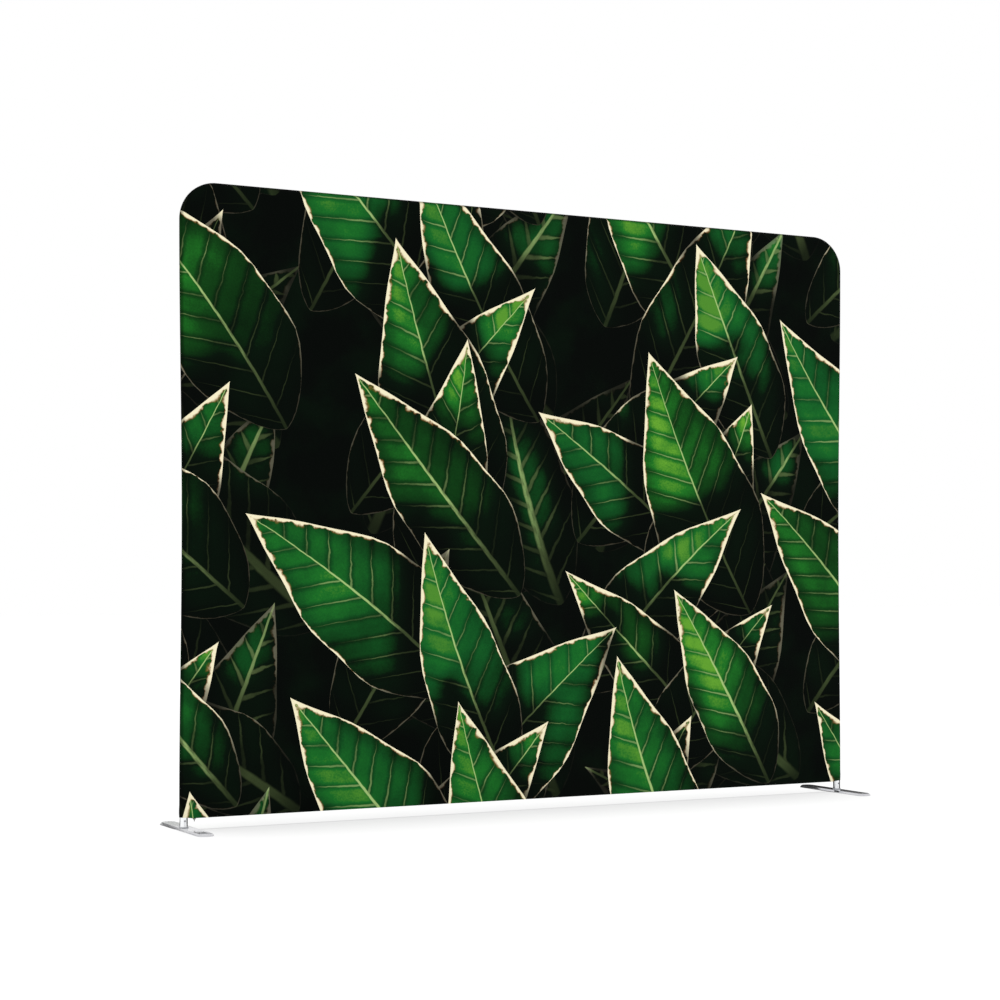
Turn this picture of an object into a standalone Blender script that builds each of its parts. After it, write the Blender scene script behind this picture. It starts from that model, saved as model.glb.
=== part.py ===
"""A free-standing fabric room divider.

A two-sided cover, zipped along its underside, is stretched over a frame of push-fit
aluminium tubes, which stands on two flat steel feet. The panel stands in the XZ plane,
its front faces -Y, and the origin is on the floor, under the middle of the panel.
"""

import math

import bmesh
import bpy
from mathutils import Matrix, Vector

# The whole object
COVER_WIDTH = 2.5
OVERALL_HEIGHT = 1.992
UNDERSIDE_Z = 0.0364
UPRIGHT_BOW = 0.008

# Clearances between neighbours, and how far a cutter runs past what it cuts
GAP = 0.0003
SLEEVE_GAP = 0.0005
OVERRUN = 0.005

# Tubes of the frame
TUBE_RADIUS = 0.0125
TUBE_WALL = 0.0012
CORNER_RADIUS = 0.105
CORNER_LEG = 0.1
UPRIGHT_JOINT_Z = 0.95
POST_JOINT_Z = 1.0
TUBE_SIDES = 16
UPRIGHT_STEPS = 5
ARC_STEPS = 8

# Sleeves inside the joints
SLEEVE_HALF = 0.05
SLEEVE_WALL = 0.0015
BUTTON_OFFSET = 0.025

# Snap buttons: a chamfered head, a flange that stops it and a leaf along the tube
BUTTON_RADIUS = 0.003
BUTTON_CHAMFER = 0.0006
BUTTON_PROUD = 0.0015
BUTTON_SIDES = 12
FLANGE_RADIUS = 0.0042
FLANGE_THICKNESS = 0.001
LEAF_LENGTH = 0.018
LEAF_WIDTH = 0.005
LEAF_THICKNESS = 0.0006

# Saddles, which join the post and the bottom rail to the tubes that they meet
SADDLE_REACH = 0.018
SADDLE_HORN = 0.007
SADDLE_PLUG = 0.035
PEG_RADIUS = 0.0037

# Feet
FOOT_LENGTH = 0.38
FOOT_WIDTH = 0.055
FOOT_THICKNESS = 0.008
FOOT_BEVEL = 0.0055
FOOT_INSET = 0.009
FOOT_END_STEPS = 12
COLLAR_RADIUS = 0.015
COLLAR_HEIGHT = 0.0025
COLLAR_CHAMFER = 0.0006
SPIGOT_HEIGHT = 0.085
SPIGOT_BASE = 0.014
FOOT_BUTTON_Z = 0.029
SCREW_RADIUS = 0.004
SCREW_LENGTH = 0.018
SCREW_HEAD_RADIUS = 0.0078
SCREW_HEAD_HEIGHT = 0.0038
SCREW_RECESS = 0.0006
SCREW_CLEARANCE = 0.0005
HEX_RADIUS = 0.0029
HEX_DEPTH = 0.0025

# Cloth of the cover
CLOTH = 0.0005

# Zip: coil rows, tapes and end stops
COIL_THICKNESS = 0.0022
COIL_WIDTH = 0.0024
COIL_GROOVE = 0.0008
TAPE_THICKNESS = 0.0006
TAPE_WIDTH = 0.007
ZIP_MARGIN = 0.025
STOP_LENGTH = 0.003

# Zip slider and pull
SLIDER_LENGTH = 0.012
SLIDER_TOP = 0.0012
SLIDER_BOTTOM = 0.0014
SLIDER_LIP = 0.0008
SLIDER_BRIDGE = 0.001
SLIDER_CLEARANCE = 0.0006
BAIL_HALF_LENGTH = 0.004
BAIL_WIDTH = 0.002
BAIL_BAR = 0.0012
BAIL_OPENING = 0.002
PULL_LENGTH = 0.0085
PULL_WIDTH = 0.0054
PULL_THICKNESS = 0.001
PULL_WINDOW_WIDTH = 0.0028
PULL_WINDOW_LENGTH = 0.005

# Modelling tolerances
WELD = 0.000001
SMOOTH_ANGLE = math.radians(35)
FLAT_ANGLE = math.radians(1)

# Levels and lines that follow from the sizes above
COVER_OFFSET = TUBE_RADIUS + GAP + CLOTH
TUBE_BORE = TUBE_RADIUS - TUBE_WALL
SLEEVE_RADIUS = TUBE_BORE - SLEEVE_GAP
SLEEVE_BORE = SLEEVE_RADIUS - SLEEVE_WALL
SIDE_X = COVER_WIDTH / 2 - COVER_OFFSET
TOP_Z = OVERALL_HEIGHT - COVER_OFFSET
COIL_TOP_Z = UNDERSIDE_Z + COIL_THICKNESS
ZIP_Z = UNDERSIDE_Z + COIL_THICKNESS / 2
BOTTOM_Z = COIL_TOP_Z + GAP + SLIDER_TOP + GAP + TUBE_RADIUS
ARC_Z = TOP_Z - CORNER_RADIUS
CORNER_JOINT_Z = ARC_Z - CORNER_LEG
CORNER_JOINT_X = SIDE_X - CORNER_RADIUS - CORNER_LEG
TOP_JOINT_X = CORNER_JOINT_X / 3
BOTTOM_JOINT_X = SIDE_X / 3
COLLAR_Z = FOOT_THICKNESS + GAP
TUBE_FOOT_Z = COLLAR_Z + COLLAR_HEIGHT + GAP
ZIP_HALF = SIDE_X - ZIP_MARGIN
ROW_HALF = ZIP_HALF - STOP_LENGTH - GAP
COIL_OUTER = COIL_GROOVE + COIL_WIDTH
SLIDER_HALF_WIDTH = COIL_OUTER + GAP + SLIDER_LIP
SLIDER_REST_X = -(ROW_HALF - SLIDER_LENGTH / 2)
SLIDER_UNDER_Z = UNDERSIDE_Z - GAP - SLIDER_BOTTOM
PIVOT_Z = SLIDER_UNDER_Z - BAIL_OPENING / 2

UP = Vector((0, 0, 1))
RIGHT = Vector((1, 0, 0))
BACK = Vector((0, 1, 0))
ORIGIN = Vector((0, 0, 0))
SIDES = {"left": -1, "right": 1}


def clear_scene():
    for obj in list(bpy.data.objects):
        bpy.data.objects.remove(obj, do_unlink=True)


def new_collection(name):
    made = bpy.data.collections.new(name)
    bpy.context.scene.collection.children.link(made)
    return made


def new_material(name, colour, roughness, metallic=0.0):
    made = bpy.data.materials.new(name)
    made.use_nodes = True
    shader = made.node_tree.nodes["Principled BSDF"]
    shader.inputs["Base Color"].default_value = (*colour, 1)
    shader.inputs["Roughness"].default_value = roughness
    shader.inputs["Metallic"].default_value = metallic
    made.diffuse_color = (*colour, 1)
    return made


clear_scene()
PARTS = new_collection("fabric_room_divider")
CUTTERS = new_collection("cutters")
TUBE_ALUMINIUM = new_material("tube_aluminium", (0.80, 0.81, 0.82), 0.28, 1.0)
SLEEVE_ALUMINIUM = new_material("sleeve_aluminium", (0.62, 0.63, 0.65), 0.4, 1.0)
FOOT_STEEL = new_material("foot_steel", (0.62, 0.62, 0.63), 0.18, 1.0)
SMALL_STEEL = new_material("small_steel", (0.45, 0.45, 0.46), 0.3, 1.0)
BLACK_PLASTIC = new_material("black_plastic", (0.03, 0.03, 0.03), 0.5)
COVER_FABRIC = new_material("cover_fabric", (0.02, 0.16, 0.05), 0.9)
ZIP_TAPE = new_material("zip_tape", (0.015, 0.015, 0.015), 0.9)
ZIP_COIL = new_material("zip_coil", (0.02, 0.02, 0.02), 0.45)
ZIP_METAL = new_material("zip_metal", (0.03, 0.03, 0.03), 0.35, 1.0)


def axes_at(origin, x_axis, z_axis):
    """A placement at origin whose local X and Z point along the two given directions."""
    z = Vector(z_axis).normalized()
    y = z.cross(Vector(x_axis)).normalized()
    turned = Matrix((y.cross(z), y, z)).transposed().to_4x4()
    return Matrix.Translation(origin) @ turned


def add_part(name, mesh, finish, placement=Matrix.Identity(4)):
    """One piece of the object. Its mesh may be shared with its twins."""
    if not mesh.materials:
        mesh.materials.append(finish)
    mesh.shade_smooth()
    mesh.set_sharp_from_angle(angle=SMOOTH_ANGLE)
    obj = bpy.data.objects.new(name, mesh)
    obj.matrix_world = placement
    PARTS.objects.link(obj)
    return obj


def add_helper(name, data, placement=Matrix.Identity(4)):
    """A shape that cuts, joins or becomes another, and isn't itself a piece."""
    obj = bpy.data.objects.new(name, data)
    obj.matrix_world = placement
    obj.hide_render = True
    obj.display_type = "WIRE"
    CUTTERS.objects.link(obj)
    return obj


def combine(obj, helper, operation="DIFFERENCE"):
    modifier = obj.modifiers.new(helper.name, "BOOLEAN")
    modifier.object = helper
    modifier.operation = operation
    modifier.solver = "EXACT"


def baked(obj):
    """The mesh that a helper evaluates to, welded. The helper and its own cutters are removed."""
    graph = bpy.context.evaluated_depsgraph_get()
    mesh = bpy.data.meshes.new_from_object(obj.evaluated_get(graph))
    used = [obj] + [modifier.object for modifier in obj.modifiers if modifier.type == "BOOLEAN"]
    name = obj.name
    bpy.data.batch_remove(ids=used + [helper.data for helper in used])
    mesh.name = name
    bm = bmesh.new()
    bm.from_mesh(mesh)
    bmesh.ops.remove_doubles(bm, verts=bm.verts, dist=WELD)
    bm.to_mesh(mesh)
    bm.free()
    return mesh


def rod_mesh(name, radius, low, high, sides=TUBE_SIDES):
    """A solid round rod along local Z, between two levels."""
    middle = Matrix.Translation(UP * (low + high) / 2)
    bm = bmesh.new()
    bmesh.ops.create_cone(
        bm, cap_ends=True, segments=sides, radius1=radius, radius2=radius, depth=high - low, matrix=middle
    )
    mesh = bpy.data.meshes.new(name)
    bm.to_mesh(mesh)
    bm.free()
    return mesh


def box_mesh(name, low, high):
    """A box between two opposite corners."""
    low, high = Vector(low), Vector(high)
    bm = bmesh.new()
    placement = Matrix.Translation((low + high) / 2) @ Matrix.Diagonal((*(high - low), 1))
    bmesh.ops.create_cube(bm, size=1, matrix=placement)
    mesh = bpy.data.meshes.new(name)
    bm.to_mesh(mesh)
    bm.free()
    return mesh


def turned_mesh(name, profile, closed=False, sides=TUBE_SIDES):
    """A profile of (radius, height) points turned round local Z, listed down its outer side."""
    mesh = bpy.data.meshes.new(name)
    edges = [(i, i + 1) for i in range(len(profile) - 1)]
    if closed:
        edges.append((len(profile) - 1, 0))
    mesh.from_pydata([(r, 0, z) for r, z in profile], edges, [])
    obj = add_helper(name, mesh)
    screw = obj.modifiers.new("turn", "SCREW")
    screw.axis = "Z"
    screw.steps = sides
    screw.render_steps = sides
    screw.use_merge_vertices = True
    screw.merge_threshold = WELD
    return baked(obj)


def poly_curve(name, points, dimensions):
    """A curve object with one straight-sided spline through the points."""
    curve = bpy.data.curves.new(name, "CURVE")
    curve.dimensions = dimensions
    spline = curve.splines.new("POLY")
    spline.points.add(len(points) - 1)
    for point, place in zip(spline.points, points):
        point.co = (*place, 1)
    spline.use_cyclic_u = dimensions == "2D"
    return curve


def flat_mesh(name, outlines, thickness):
    """Closed outlines in local XY, the first with the others as holes, made thickness thick."""
    curve = poly_curve(name, [(x, y, 0) for x, y in outlines[0]], "2D")
    for outline in outlines[1:]:
        spline = curve.splines.new("POLY")
        spline.points.add(len(outline) - 1)
        for point, (x, y) in zip(spline.points, outline):
            point.co = (x, y, 0, 1)
        spline.use_cyclic_u = True
    curve.fill_mode = "BOTH"
    curve.extrude = thickness / 2
    return baked(add_helper(name, curve))


def arc(centre, radius, start, end, steps):
    """Points along an arc in a plane, with its angles in degrees."""
    angles = [math.radians(start + (end - start) * step / steps) for step in range(steps + 1)]
    return [(centre[0] + radius * math.cos(a), centre[1] + radius * math.sin(a)) for a in angles]


def add_tube(name, points):
    """A length of frame tube along the points, open at both ends."""
    curve = poly_curve(name, points, "3D")
    curve.bevel_depth = TUBE_RADIUS
    curve.bevel_resolution = TUBE_SIDES // 2 - 2
    obj = add_part(name, baked(add_helper(name, curve)), TUBE_ALUMINIUM)
    wall = obj.modifiers.new("wall", "SOLIDIFY")
    wall.thickness = TUBE_WALL
    wall.offset = -1
    wall.use_even_offset = True
    return obj


def upright_inset(z):
    """How far the pull of the cover bows an upright inwards at a height."""
    share = min(max((z - BOTTOM_Z) / (ARC_Z - BOTTOM_Z), 0), 1)
    return UPRIGHT_BOW * (1 - math.cos(2 * math.pi * share)) / 2


def upright_point(side, z):
    return Vector((side * (SIDE_X - upright_inset(z)), 0, z))


def upright_direction(side, z):
    return (upright_point(side, z + GAP) - upright_point(side, z - GAP)).normalized()


def levels_between(low, high, steps=UPRIGHT_STEPS):
    """Evenly spaced heights from low to high."""
    return [low + (high - low) * step / steps for step in range(steps + 1)]


def corner_points(side, low_z, inner_x):
    """The bent corner's line, from its lower end round to its end in the top rail."""
    bend = arc((SIDE_X - CORNER_RADIUS, ARC_Z), CORNER_RADIUS, 0, 90, ARC_STEPS)
    leg = [upright_point(side, z) for z in levels_between(low_z, ARC_Z, 2)[:-1]]
    return leg + [Vector((side * x, 0, z)) for x, z in bend] + [Vector((side * inner_x, 0, TOP_Z))]


def tube_lines():
    """The points that each length of tube runs through. Ends that meet stand a gap apart."""
    half = GAP / 2
    ends = SIDE_X - SADDLE_REACH
    lines = {
        "middle_top_tube": [RIGHT * s * (TOP_JOINT_X - half) + UP * TOP_Z for s in (-1, 1)],
        "middle_bottom_tube": [RIGHT * s * (BOTTOM_JOINT_X - half) + UP * BOTTOM_Z for s in (-1, 1)],
        "lower_centre_post": [UP * (BOTTOM_Z + SADDLE_REACH), UP * (POST_JOINT_Z - half)],
        "upper_centre_post": [UP * (POST_JOINT_Z + half), UP * (TOP_Z - SADDLE_REACH)],
    }
    for word, side in SIDES.items():
        outward = side * RIGHT
        lower = [TUBE_FOOT_Z] + levels_between(BOTTOM_Z, UPRIGHT_JOINT_Z - half)
        upper = levels_between(UPRIGHT_JOINT_Z + half, CORNER_JOINT_Z - half)
        top = [outward * x + UP * TOP_Z for x in (TOP_JOINT_X + half, CORNER_JOINT_X - half)]
        bottom = [outward * x + UP * BOTTOM_Z for x in (BOTTOM_JOINT_X + half, ends)]
        lines[f"{word}_lower_upright"] = [upright_point(side, z) for z in lower]
        lines[f"{word}_upper_upright"] = [upright_point(side, z) for z in upper]
        lines[f"{word}_corner_tube"] = corner_points(side, CORNER_JOINT_Z + half, CORNER_JOINT_X + half)
        lines[f"{word}_top_tube"] = top
        lines[f"{word}_bottom_tube"] = bottom
    return lines


def push_fit_joints():
    """Each push-fit joint's place, direction into the tube that slides off, button direction,
    and that tube. The buttons face into the panel, clear of the cloth."""
    joints = {"centre_post": (UP * POST_JOINT_Z, UP, RIGHT, "upper_centre_post")}
    for word, side in SIDES.items():
        outward = side * RIGHT
        inward = -outward
        heights = {"upright": (UPRIGHT_JOINT_Z, "upper_upright")}
        heights["corner_lower"] = (CORNER_JOINT_Z, "corner_tube")
        for joint, (z, tube) in heights.items():
            along = upright_direction(side, z)
            joints[f"{word}_{joint}"] = (upright_point(side, z), along, inward, f"{word}_{tube}")
        corner = outward * CORNER_JOINT_X + UP * TOP_Z
        joints[f"{word}_corner_upper"] = (corner, inward, -UP, f"{word}_top_tube")
        top = outward * TOP_JOINT_X + UP * TOP_Z
        joints[f"{word}_top"] = (top, inward, -UP, "middle_top_tube")
        bottom = outward * BOTTOM_JOINT_X + UP * BOTTOM_Z
        joints[f"{word}_bottom"] = (bottom, inward, UP, "middle_bottom_tube")
    return joints


def button_mesh():
    """A snap button, local Z out of the tube from its axis, with its leaf along local X."""
    seat = SLEEVE_BORE * math.cos(math.pi / TUBE_SIDES)
    flange_top = math.sqrt(seat * seat - FLANGE_RADIUS * FLANGE_RADIUS) - GAP
    flange_low = flange_top - FLANGE_THICKNESS
    top = TUBE_RADIUS + BUTTON_PROUD
    profile = [
        (0, top),
        (BUTTON_RADIUS - BUTTON_CHAMFER, top),
        (BUTTON_RADIUS, top - BUTTON_CHAMFER),
        (BUTTON_RADIUS, flange_top),
        (FLANGE_RADIUS, flange_top),
        (FLANGE_RADIUS, flange_low),
        (0, flange_low),
    ]
    obj = add_helper("snap_button", turned_mesh("snap_button", profile, sides=BUTTON_SIDES))
    middle = (flange_low + flange_top) / 2
    low = (0, -LEAF_WIDTH / 2, middle - LEAF_THICKNESS / 2)
    high = (LEAF_LENGTH, LEAF_WIDTH / 2, middle + LEAF_THICKNESS / 2)
    combine(obj, add_helper("snap_button_leaf", box_mesh("snap_button_leaf", low, high)), "UNION")
    return baked(obj)


def button_hole(name, placement):
    """A cutter through one wall, at a button's placement."""
    mesh = rod_mesh(name, BUTTON_RADIUS + GAP, 0, TUBE_RADIUS + OVERRUN, BUTTON_SIDES)
    return add_helper(name, mesh, placement)


def sleeve_mesh():
    """The inner sleeve of a joint, its button towards local X, in the half that slides."""
    profile = [
        (SLEEVE_RADIUS, SLEEVE_HALF),
        (SLEEVE_RADIUS, -SLEEVE_HALF),
        (SLEEVE_BORE, -SLEEVE_HALF),
        (SLEEVE_BORE, SLEEVE_HALF),
    ]
    obj = add_helper("joint_sleeve", turned_mesh("joint_sleeve", profile, closed=True))
    combine(obj, button_hole("joint_sleeve_hole", axes_at(UP * BUTTON_OFFSET, -UP, RIGHT)))
    return baked(obj)


def add_push_fits(tubes, button):
    """A sleeve and a snap button at every joint, and the hole that each button snaps into."""
    sleeve = sleeve_mesh()
    for name, (place, along, outward, slides) in push_fit_joints().items():
        add_part(f"{name}_sleeve", sleeve, SLEEVE_ALUMINIUM, axes_at(place, outward, along))
        placement = axes_at(place + along * BUTTON_OFFSET, -along, outward)
        add_part(f"{name}_button", button, SMALL_STEEL, placement)
        combine(tubes[slides], button_hole(f"{name}_hole", placement))


def saddle_mesh():
    """A saddle: its plug down local Z, and its seat along local X, round the tube that it meets,
    whose axis crosses its origin. A peg enters that tube's wall."""
    shoulder = -SADDLE_REACH + GAP
    end = -SADDLE_REACH - SADDLE_PLUG
    profile = [
        (0, -SADDLE_HORN),
        (TUBE_RADIUS, -SADDLE_HORN),
        (TUBE_RADIUS, shoulder),
        (SLEEVE_RADIUS, shoulder),
        (SLEEVE_RADIUS, end),
        (0, end),
    ]
    obj = add_helper("saddle", turned_mesh("saddle", profile))
    span = TUBE_RADIUS + OVERRUN
    seat = rod_mesh("saddle_seat", TUBE_RADIUS + GAP, -span, span, 2 * TUBE_SIDES)
    combine(obj, add_helper("saddle_seat", seat, axes_at(ORIGIN, UP, RIGHT)))
    peg = rod_mesh("saddle_peg", PEG_RADIUS, -SADDLE_REACH, -TUBE_BORE)
    combine(obj, add_helper("saddle_peg", peg), "UNION")
    return baked(obj)


def add_saddles(tubes):
    """The bottom rail's two connectors, and the centre post's two saddles."""
    mesh = saddle_mesh()
    seats = {"lower_post_saddle": (UP * BOTTOM_Z, RIGHT, -UP, "middle_bottom_tube")}
    seats["upper_post_saddle"] = (UP * TOP_Z, RIGHT, UP, "middle_top_tube")
    for word, side in SIDES.items():
        place = upright_point(side, BOTTOM_Z)
        seats[f"{word}_rail_connector"] = (place, UP, side * RIGHT, f"{word}_lower_upright")
    for name, (place, along_met, towards, met) in seats.items():
        placement = axes_at(place, along_met, towards)
        add_part(name, mesh, BLACK_PLASTIC, placement)
        hole = rod_mesh(f"{name}_hole", PEG_RADIUS + GAP, -TUBE_RADIUS - OVERRUN, 0)
        combine(tubes[met], add_helper(f"{name}_hole", hole, placement))


def plate_mesh():
    """The foot plate, its origin on the upright's axis and its middle set off towards local X."""
    radius = FOOT_WIDTH / 2
    straight = FOOT_LENGTH / 2 - radius
    outline = arc((0, straight), radius, 0, 180, FOOT_END_STEPS)
    outline += arc((0, -straight), radius, 180, 360, FOOT_END_STEPS)
    mesh = flat_mesh("foot_plate", [outline], FOOT_THICKNESS)
    mesh.transform(Matrix.Translation(RIGHT * FOOT_INSET + UP * FOOT_THICKNESS / 2))
    bm = bmesh.new()
    bm.from_mesh(mesh)
    bmesh.ops.dissolve_limit(bm, angle_limit=FLAT_ANGLE, verts=bm.verts, edges=bm.edges)
    rim = [edge for edge in bm.edges if all(v.co.z > FOOT_THICKNESS / 2 for v in edge.verts)]
    bmesh.ops.bevel(bm, geom=rim, offset=FOOT_BEVEL, segments=1, affect="EDGES", clamp_overlap=True)
    bm.to_mesh(mesh)
    bm.free()
    obj = add_helper("foot_plate", mesh)
    profile = screw_profile(FOOT_THICKNESS + OVERRUN, SCREW_CLEARANCE)
    rim_radius = SCREW_HEAD_RADIUS + SCREW_CLEARANCE
    profile += [(rim_radius, -OVERRUN), (0, -OVERRUN)]
    combine(obj, add_helper("foot_plate_hole", turned_mesh("foot_plate_hole", profile)))
    return baked(obj)


def screw_profile(top, grow=0):
    """The countersunk screw's shank and cone, from a level above the plate to the head's rim."""
    shank = SCREW_RADIUS + grow
    neck = SCREW_RECESS + SCREW_HEAD_HEIGHT
    return [(0, top), (shank, top), (shank, neck), (SCREW_HEAD_RADIUS + grow, SCREW_RECESS)]


def screw_mesh():
    profile = screw_profile(SCREW_RECESS + SCREW_LENGTH) + [(0, SCREW_RECESS)]
    obj = add_helper("foot_screw", turned_mesh("foot_screw", profile))
    low, high = SCREW_RECESS - OVERRUN, SCREW_RECESS + HEX_DEPTH
    combine(obj, add_helper("foot_screw_socket", rod_mesh("foot_screw_socket", HEX_RADIUS, low, high, 6)))
    return baked(obj)


def spigot_mesh():
    """The collar on the plate, and the spigot that the upright slides over."""
    shelf = COLLAR_Z + COLLAR_HEIGHT
    floor = COLLAR_Z + SPIGOT_BASE
    end = COLLAR_Z + SPIGOT_HEIGHT
    hole = SCREW_RADIUS + GAP
    profile = [
        (SLEEVE_RADIUS, end),
        (SLEEVE_RADIUS, shelf),
        (COLLAR_RADIUS - COLLAR_CHAMFER, shelf),
        (COLLAR_RADIUS, shelf - COLLAR_CHAMFER),
        (COLLAR_RADIUS, COLLAR_Z),
        (hole, COLLAR_Z),
        (hole, floor),
        (SLEEVE_BORE, floor),
        (SLEEVE_BORE, end),
    ]
    return turned_mesh("foot_spigot", profile, closed=True)


def add_feet(tubes, button):
    """Each foot: a plate, its screw, the spigot and the button that holds the upright on it."""
    plate, screw, spigot = plate_mesh(), screw_mesh(), spigot_mesh()
    for word, side in SIDES.items():
        base = side * SIDE_X * RIGHT
        placement = axes_at(base, -side * RIGHT, UP)
        add_part(f"{word}_foot_plate", plate, FOOT_STEEL, placement)
        add_part(f"{word}_foot_screw", screw, SMALL_STEEL, placement)
        held = add_part(f"{word}_foot_spigot", spigot, SLEEVE_ALUMINIUM, placement)
        facing_front = axes_at(base + UP * FOOT_BUTTON_Z, UP, -BACK)
        add_part(f"{word}_foot_button", button, SMALL_STEEL, facing_front)
        hole = button_hole(f"{word}_foot_hole", facing_front)
        combine(held, hole)
        combine(tubes[f"{word}_lower_upright"], hole)


def cover_outline():
    """The line of the frame in local XY, run on below the underside, where the cover is cut."""
    low = UNDERSIDE_Z - 2 * COVER_OFFSET
    levels = [low] + levels_between(BOTTOM_Z, UPRIGHT_JOINT_Z)
    levels += levels_between(UPRIGHT_JOINT_Z, CORNER_JOINT_Z)[1:]
    levels += levels_between(CORNER_JOINT_Z, ARC_Z, 2)[1:-1]
    right = [(upright_point(1, z).x, z) for z in levels]
    right += arc((SIDE_X - CORNER_RADIUS, ARC_Z), CORNER_RADIUS, 0, 90, ARC_STEPS)
    return right + [(-x, z) for x, z in reversed(right)]


def half_cover_mesh(name, side):
    """The cover's outer face on one side of its middle plane, closed along its underside."""
    curve = poly_curve(name, [(x, z, 0) for x, z in cover_outline()], "2D")
    curve.fill_mode = "BOTH"
    curve.bevel_depth = COVER_OFFSET
    curve.bevel_resolution = TUBE_SIDES // 4 - 1
    mesh = baked(add_helper(name, curve))
    mesh.transform(Matrix.Rotation(math.radians(90), 4, "X"))
    bm = bmesh.new()
    bm.from_mesh(mesh)
    everything = bm.verts[:] + bm.edges[:] + bm.faces[:]
    below = {"plane_co": UP * UNDERSIDE_Z, "plane_no": -UP, "clear_outer": True}
    cut = bmesh.ops.bisect_plane(bm, geom=everything, **below)
    rim = [found for found in cut["geom_cut"] if isinstance(found, bmesh.types.BMEdge)]
    bmesh.ops.holes_fill(bm, edges=rim)
    bmesh.ops.recalc_face_normals(bm, faces=bm.faces)
    everything = bm.verts[:] + bm.edges[:] + bm.faces[:]
    beyond = {"plane_co": side * BACK * GAP / 2, "plane_no": -side * BACK, "clear_outer": True}
    bmesh.ops.bisect_plane(bm, geom=everything, **beyond)
    bm.to_mesh(mesh)
    bm.free()
    return mesh


def cover_openings():
    """Cutters through the cover's underside, for the zip and for each upright."""
    across = SLIDER_HALF_WIDTH + SLIDER_CLEARANCE
    along = ZIP_HALF + GAP
    low = UNDERSIDE_Z - OVERRUN
    slot = box_mesh("zip_slot", (-along, -across, low), (along, across, COIL_TOP_Z))
    found = [add_helper("zip_slot", slot)]
    sides = 2 * TUBE_SIDES
    # Its flats face the cover's walls, so that it doesn't graze them.
    turned = Matrix.Rotation(math.pi / sides, 4, "Z")
    for word, side in SIDES.items():
        name = f"{word}_upright_opening"
        mesh = rod_mesh(name, TUBE_RADIUS + GAP, low, COIL_TOP_Z, sides)
        found.append(add_helper(name, mesh, Matrix.Translation(side * SIDE_X * RIGHT) @ turned))
    return found


def add_cover():
    """The cover's front and back."""
    openings = cover_openings()
    for name, side in (("cover_front", -1), ("cover_back", 1)):
        obj = add_part(name, half_cover_mesh(name, side), COVER_FABRIC)
        cloth = obj.modifiers.new("cloth", "SOLIDIFY")
        cloth.thickness = CLOTH
        cloth.offset = -1
        cloth.use_even_offset = True
        for opening in openings:
            combine(obj, opening)


def add_zip_rows():
    """The tapes, the coil rows and the stops, along the cover's underside."""
    half_tape = TAPE_THICKNESS / 2
    for word, side in (("front", -1), ("back", 1)):
        near, far = sorted((side * COIL_GROOVE, side * COIL_OUTER))
        name = f"zip_coil_{word}"
        coil = box_mesh(name, (-ROW_HALF, near, UNDERSIDE_Z), (ROW_HALF, far, COIL_TOP_Z))
        add_part(name, coil, ZIP_COIL)
        edge = COIL_OUTER + GAP
        near, far = sorted((side * edge, side * (edge + TAPE_WIDTH)))
        name = f"zip_tape_{word}"
        tape = box_mesh(name, (-ZIP_HALF, near, ZIP_Z - half_tape), (ZIP_HALF, far, ZIP_Z + half_tape))
        add_part(name, tape, ZIP_TAPE)
    for word, side in SIDES.items():
        near, far = sorted((side * ZIP_HALF, side * (ZIP_HALF - STOP_LENGTH)))
        name = f"zip_{word}_stop"
        stop = box_mesh(name, (near, -COIL_OUTER, UNDERSIDE_Z), (far, COIL_OUTER, COIL_TOP_Z))
        add_part(name, stop, ZIP_METAL)


def slider_section():
    """The slider's section across the zip, about its middle: two wings, a bridge and four lips."""
    coil = COIL_THICKNESS / 2 + GAP
    slot = TAPE_THICKNESS / 2 + GAP
    outer, inner, bridge = SLIDER_HALF_WIDTH, SLIDER_HALF_WIDTH - SLIDER_LIP, SLIDER_BRIDGE / 2
    half = [
        (outer, coil + SLIDER_TOP),
        (outer, slot),
        (inner, slot),
        (inner, coil),
        (bridge, coil),
        (bridge, -coil),
        (inner, -coil),
        (inner, -slot),
        (outer, -slot),
        (outer, -coil - SLIDER_BOTTOM),
    ]
    return half + [(-y, z) for y, z in reversed(half)]


def bail_outline():
    """The loop under the slider that carries the pull, seen from the side, below its origin."""
    outer = BAIL_HALF_LENGTH
    inner = outer - BAIL_BAR
    root, bar, low = SLIDER_BOTTOM / 2, -BAIL_OPENING, -BAIL_OPENING - BAIL_BAR
    half = [(outer, low), (outer, root), (inner, root), (inner, bar)]
    return half + [(-x, z) for x, z in reversed(half)]


def pull_outlines():
    """The pull's outline and window, below its pivot: a top bar, two arms and a round tab."""
    outer, window, bar = PULL_WIDTH / 2, PULL_WINDOW_WIDTH / 2, PULL_THICKNESS / 2
    tab = arc((0, outer - PULL_LENGTH), outer, 180, 360, ARC_STEPS)
    outline = [(-outer, bar)] + tab + [(outer, bar)]
    low = -PULL_WINDOW_LENGTH
    return [outline, [(-window, -bar), (window, -bar), (window, low), (-window, low)]]


def add_slider():
    """The slider, at rest by the left upright, and the pull that hangs from its bail."""
    across = axes_at(RIGHT * SLIDER_REST_X + UP * ZIP_Z, BACK, RIGHT)
    slider = flat_mesh("zip_slider", [slider_section()], SLIDER_LENGTH)
    slider = add_part("zip_slider", slider, ZIP_METAL, across)
    bail = flat_mesh("zip_bail", [bail_outline()], BAIL_WIDTH)
    sideways = axes_at(RIGHT * SLIDER_REST_X + UP * SLIDER_UNDER_Z, RIGHT, -BACK)
    combine(slider, add_helper("zip_bail", bail, sideways), "UNION")
    pull = flat_mesh("zip_pull", pull_outlines(), PULL_THICKNESS)
    add_part("zip_pull", pull, ZIP_METAL, axes_at(RIGHT * SLIDER_REST_X + UP * PIVOT_Z, BACK, RIGHT))


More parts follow.
